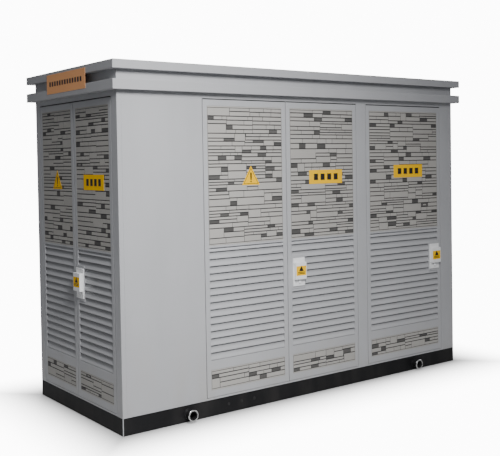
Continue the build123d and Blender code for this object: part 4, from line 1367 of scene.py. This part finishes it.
# %% Low-voltage cabinet
METERS = 3
mid, z0 = (board_low.x + board_high.x) / 2, board_low.z
trims, toggles, meters, dials = (Draft(Matrix.Translation((0, board_low.y, 0))) for _ in range(4))
rows = [z0 + 0.30 + row * 0.36 - 0.035 for row in range(2)]
trimmed = [(0.315, low, low + 0.31) for low in rows] + [(0.165, z0 + 1.115, z0 + 1.535)]
for half, low, high in trimmed:
    trims.boxes(
        [(mid - half, mid + half, -6 * MM, 1 * MM, low, high)],
        [(mid - half + 0.025, mid + half - 0.025, -8 * MM, 2 * MM, low + 0.025, high - 0.025)],
    )
for i in range(METERS):
    u = mid + (i - 1) * 0.15
    meters.boxes([(u - 0.048, u + 0.048, -14 * MM, 1 * MM, z0 + 1.64, z0 + 1.736)])
    dials.boxes([(u - 0.040, u + 0.040, -15 * MM, -13 * MM, z0 + 1.648, z0 + 1.728)])
    needle = [(u - 0.030, z0 + 1.658), (u - 0.027, z0 + 1.656), (u + 0.012 * (i + 1) - 0.01, z0 + 1.712)]
    toggles.prism(needle, -16 * MM, -14.5 * MM)
button = [(r * MM, (-90 + d) * MM) for r, d in ((0, 1), (14, 1), (14, -5), (12, -8), (0, -8))]
for u in (mid - 0.06, mid + 0.06):
    toggles.lathe(button, (u, 0, z0 + 1.20), steps=24)
fit(trims.piece("Breaker_trims", ZINC, bevel=1.2 * MM), "housing", "galvanised")
fit(toggles.piece("Buttons_and_needles", INK), "housing", "breaker_black")
fit(meters.piece("Meters", MOULDED, bevel=2 * MM), "housing", "breaker_black")
fit(dials.piece("Meter_dials", WHITE, bevel=0.5 * MM), "housing", "lock_white")
print("meters", METERS)

# %% [markdown]
# ## What stays as the frame made it
# Parts that are already right keep their mesh and only take a finish.

# %% Finishes for the CAD parts
KEPT = {"floor_plates": ZINC, "partitions": ZINC, "hinge_pins": STEEL}
for name in LOCKED:
    KEPT[f"{name}_upper_rod"] = KEPT[f"{name}_lower_rod"] = STEEL
for node, material in KEPT.items():
    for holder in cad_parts[node].material_slots:
        holder.material = material
print("kept parts", len(KEPT), "with slots", [len(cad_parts[node].material_slots) for node in KEPT])

# %% [markdown]
# ## Floor and light
# A pale floor that fades into a white dome stands in for a studio. The key light is a soft panel in front,
# so the front is bright and the left end falls into shade; panels above, behind and to the right are fill.
# The haze and the dome are seen by the camera only, and neither lights the object.

# %% Floor
floor_finish = Finish("studio_floor")
floor_tone = floor_finish.noise(0.8, 2.0)
FLOOR = floor_finish.done(
    Base_Color=floor_finish.mix(floor_tone, (0.44, 0.44, 0.44), (0.48, 0.48, 0.48)), Roughness=0.7
)
floor_mesh = bpy.data.meshes.new("Floor")
floor_mesh.from_pydata([(-60, -60, 0), (60, -60, 0), (60, 60, 0), (-60, 60, 0)], [], [[0, 1, 2, 3]])
floor_mesh.materials.append(FLOOR)
floor = bpy.data.objects.new("Floor", floor_mesh)
floor.location.z = -0.002
bpy.context.collection.objects.link(floor)
floor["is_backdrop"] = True
print("floor", [round(v) for v in floor.dimensions])

# %% Haze over the floor
FADE_FROM, FADE_TO = -0.05, 0.65  # distances from the footprint
BACKDROP = dict(Base_Color=(0, 0, 0), Emission_Color=(1, 1, 1), Emission_Strength=12.0, Roughness=1.0)


def camera_only(piece):
    """A backdrop that the camera sees and no light does."""
    for ray in ("diffuse", "glossy", "transmission", "shadow", "volume_scatter"):
        setattr(piece, f"visible_{ray}", False)
    bpy.context.collection.objects.link(piece)
    piece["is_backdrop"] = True


haze = Finish("studio_haze")
beside, before = abs(haze.along("X")) - HALF_L, abs(haze.along("Y")) - HALF_W
haze.done(**BACKDROP, Alpha=beside.math("MAXIMUM", beside, before).step(FADE_FROM, FADE_TO))
haze_mesh = floor_mesh.copy()
haze_mesh.materials.clear()
haze_mesh.materials.append(haze.material)
haze_sheet = bpy.data.objects.new("Floor_haze", haze_mesh)
haze_sheet.location.z = -0.0015
camera_only(haze_sheet)
print("haze from", FADE_FROM, "to", FADE_TO)

# %% World and dome
world = bpy.data.worlds.new("Studio")
world.use_nodes = True
world.node_tree.nodes["Background"].inputs["Color"].default_value = (0.93, 0.95, 1.0, 1)
world.node_tree.nodes["Background"].inputs["Strength"].default_value = 0.20
bpy.context.scene.world = world

backdrop_finish = Finish("studio_backdrop")
backdrop_finish.done(**BACKDROP)
dome_build = bmesh.new()
bmesh.ops.create_icosphere(dome_build, subdivisions=4, radius=55)
bmesh.ops.reverse_faces(dome_build, faces=dome_build.faces)
dome_mesh = bpy.data.meshes.new("Backdrop")
dome_build.to_mesh(dome_mesh)
dome_build.free()
dome_mesh.materials.append(backdrop_finish.material)
camera_only(bpy.data.objects.new("Backdrop", dome_mesh))
print("dome faces", len(dome_mesh.polygons))


# %% Lights
def panel_light(name, place, target, size, power, spread=180):
    """A square soft light aimed at a point, with its beam's full angle in degrees."""
    lamp = bpy.data.objects.new(name, bpy.data.lights.new(name, "AREA"))
    lamp.data.size = size
    lamp.data.spread = math.radians(spread)
    lamp.data.energy = power
    lamp.location = place
    lamp.rotation_euler = (Vector(target) - Vector(place)).to_track_quat("-Z", "Y").to_euler()
    lamp.visible_camera = False
    bpy.context.collection.objects.link(lamp)


panel_light("Key", (-1.9, -3.7, 3.7), (-1.1, -0.6, 0.6), 1.2, 84, spread=96)
panel_light("Top", (0.5, 0.5, 6.5), (0.2, 0, 0), 5.0, 85)
panel_light("Back", (2.0, 6.0, 3.2), (0, 0, 1.1), 3.0, 240)
panel_light("Right", (6.0, 0.6, 3.0), (1.5, 0, 1.1), 2.5, 110)

# %% The sizes of the CAD and of the finished model
def plain(value):
    """Vectors and tuples as plain lists of numbers."""
    return [plain(part) for part in value] if hasattr(value, "__len__") else float(value)


{"cad": plain(CAD_BOX), "visual": plain(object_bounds())}
